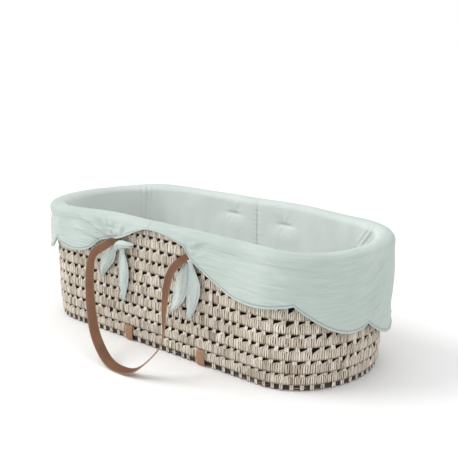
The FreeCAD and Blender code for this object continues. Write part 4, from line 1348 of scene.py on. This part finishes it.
def make_foam():
    """The foam block inside the cover, kept clear of the quilted lines."""
    piece = make_slab("mattress_foam_block", "mattress_core", -0.0270, 0.003, 0.0085, 0.006, 120)
    dress(piece, foam_material, "foam", "mattress", "mattress_core")


def make_base_pad():
    """The liner's thin base, quilted in smaller diamonds than the mattress."""
    low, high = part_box("liner_base_pad")
    rings = slab_surface(-0.0095, low.z, high.z, 0.0012)
    x, y, z = np.moveaxis(rings, -1, 0)
    rings[..., 2] = z - 0.0008 * smooth_step(z, high.z - 0.001, high.z) * quilting(x, y, 0.060)
    flat = np.zeros(z.shape)
    piece = make_piece(
        "liner_base_pad_quilted", rings, tube_quads(1, *z.shape), pair(x, y), seam=flat, crease=flat + 0.2
    )
    dress(piece, liner_cloth, "liner_fabric", "basket", "liner_base_pad")


make_mattress()
make_base_pad()
make_foam()
print("mattress and base pad done")

# %% [markdown]
# ## Floor, light and camera
# A plain pale floor, one soft light from the left, and a pale sky that fills the shadows.


# %% Stage
def make_floor():
    floor = make_piece("floor", [(-30, -30, 0), (30, -30, 0), (30, 30, 0), (-30, 30, 0)], [(0, 1, 2, 3)])
    paper = Finish("paper", Roughness=0.9, Specular_IOR_Level=0.1)
    grain = paper.noise(paper.place(3, 3, 3), 2.0)
    paper.feed("Base Color", paper.ramp(grain, (0.3, (0.90, 0.90, 0.905)), (0.7, (0.915, 0.915, 0.915))))
    floor.data.materials.append(paper.material)


def put_in(name, data, way):
    """A light or camera that looks along way."""
    placed = bpy.data.objects.new(name, data)
    placed.rotation_mode = "QUATERNION"
    placed.rotation_quaternion = Vector(way).to_track_quat("-Z", "Y")
    bpy.context.scene.collection.objects.link(placed)
    return placed


def make_sun(way, strength, spread):
    """Even light from one side, soft because it comes from a wide disc of sky (spread in degrees)."""
    data = bpy.data.lights.new("window_light", "SUN")
    data.energy, data.angle, data.color = strength, math.radians(spread), (1, 0.99, 0.97)
    put_in("window_light", data, way)


def make_sky():
    """White light from all round."""
    world = bpy.data.worlds.new("studio")
    world.use_nodes = True
    background = world.node_tree.nodes["Background"]
    background.inputs["Color"].default_value = (1, 1, 1, 1)
    background.inputs["Strength"].default_value = 1.0
    bpy.context.scene.world = world
    bpy.context.scene.view_settings.view_transform = "Standard"


def make_camera():
    """Looks down at the basket from its near right, with the picture's middle shifted a little."""
    azimuth, elevation, distance = math.radians(41.81), math.radians(15.715), 1.686
    flat = math.cos(elevation)
    back = Vector((math.sin(azimuth) * flat, -math.cos(azimuth) * flat, math.sin(elevation)))
    data = bpy.data.cameras.new("camera")
    data.lens, data.sensor_width = 62.76, 36
    data.shift_x, data.shift_y = 0.047, 0.0625
    camera = put_in("camera", data, -back)
    camera.location = Vector((-0.002, 0.0, 0.1589)) + back * distance
    bpy.context.scene.camera = camera


make_floor()
make_sun((0.62, 0.42, -0.66), 1.5, 38)
make_sky()
make_camera()
print("stage ready")
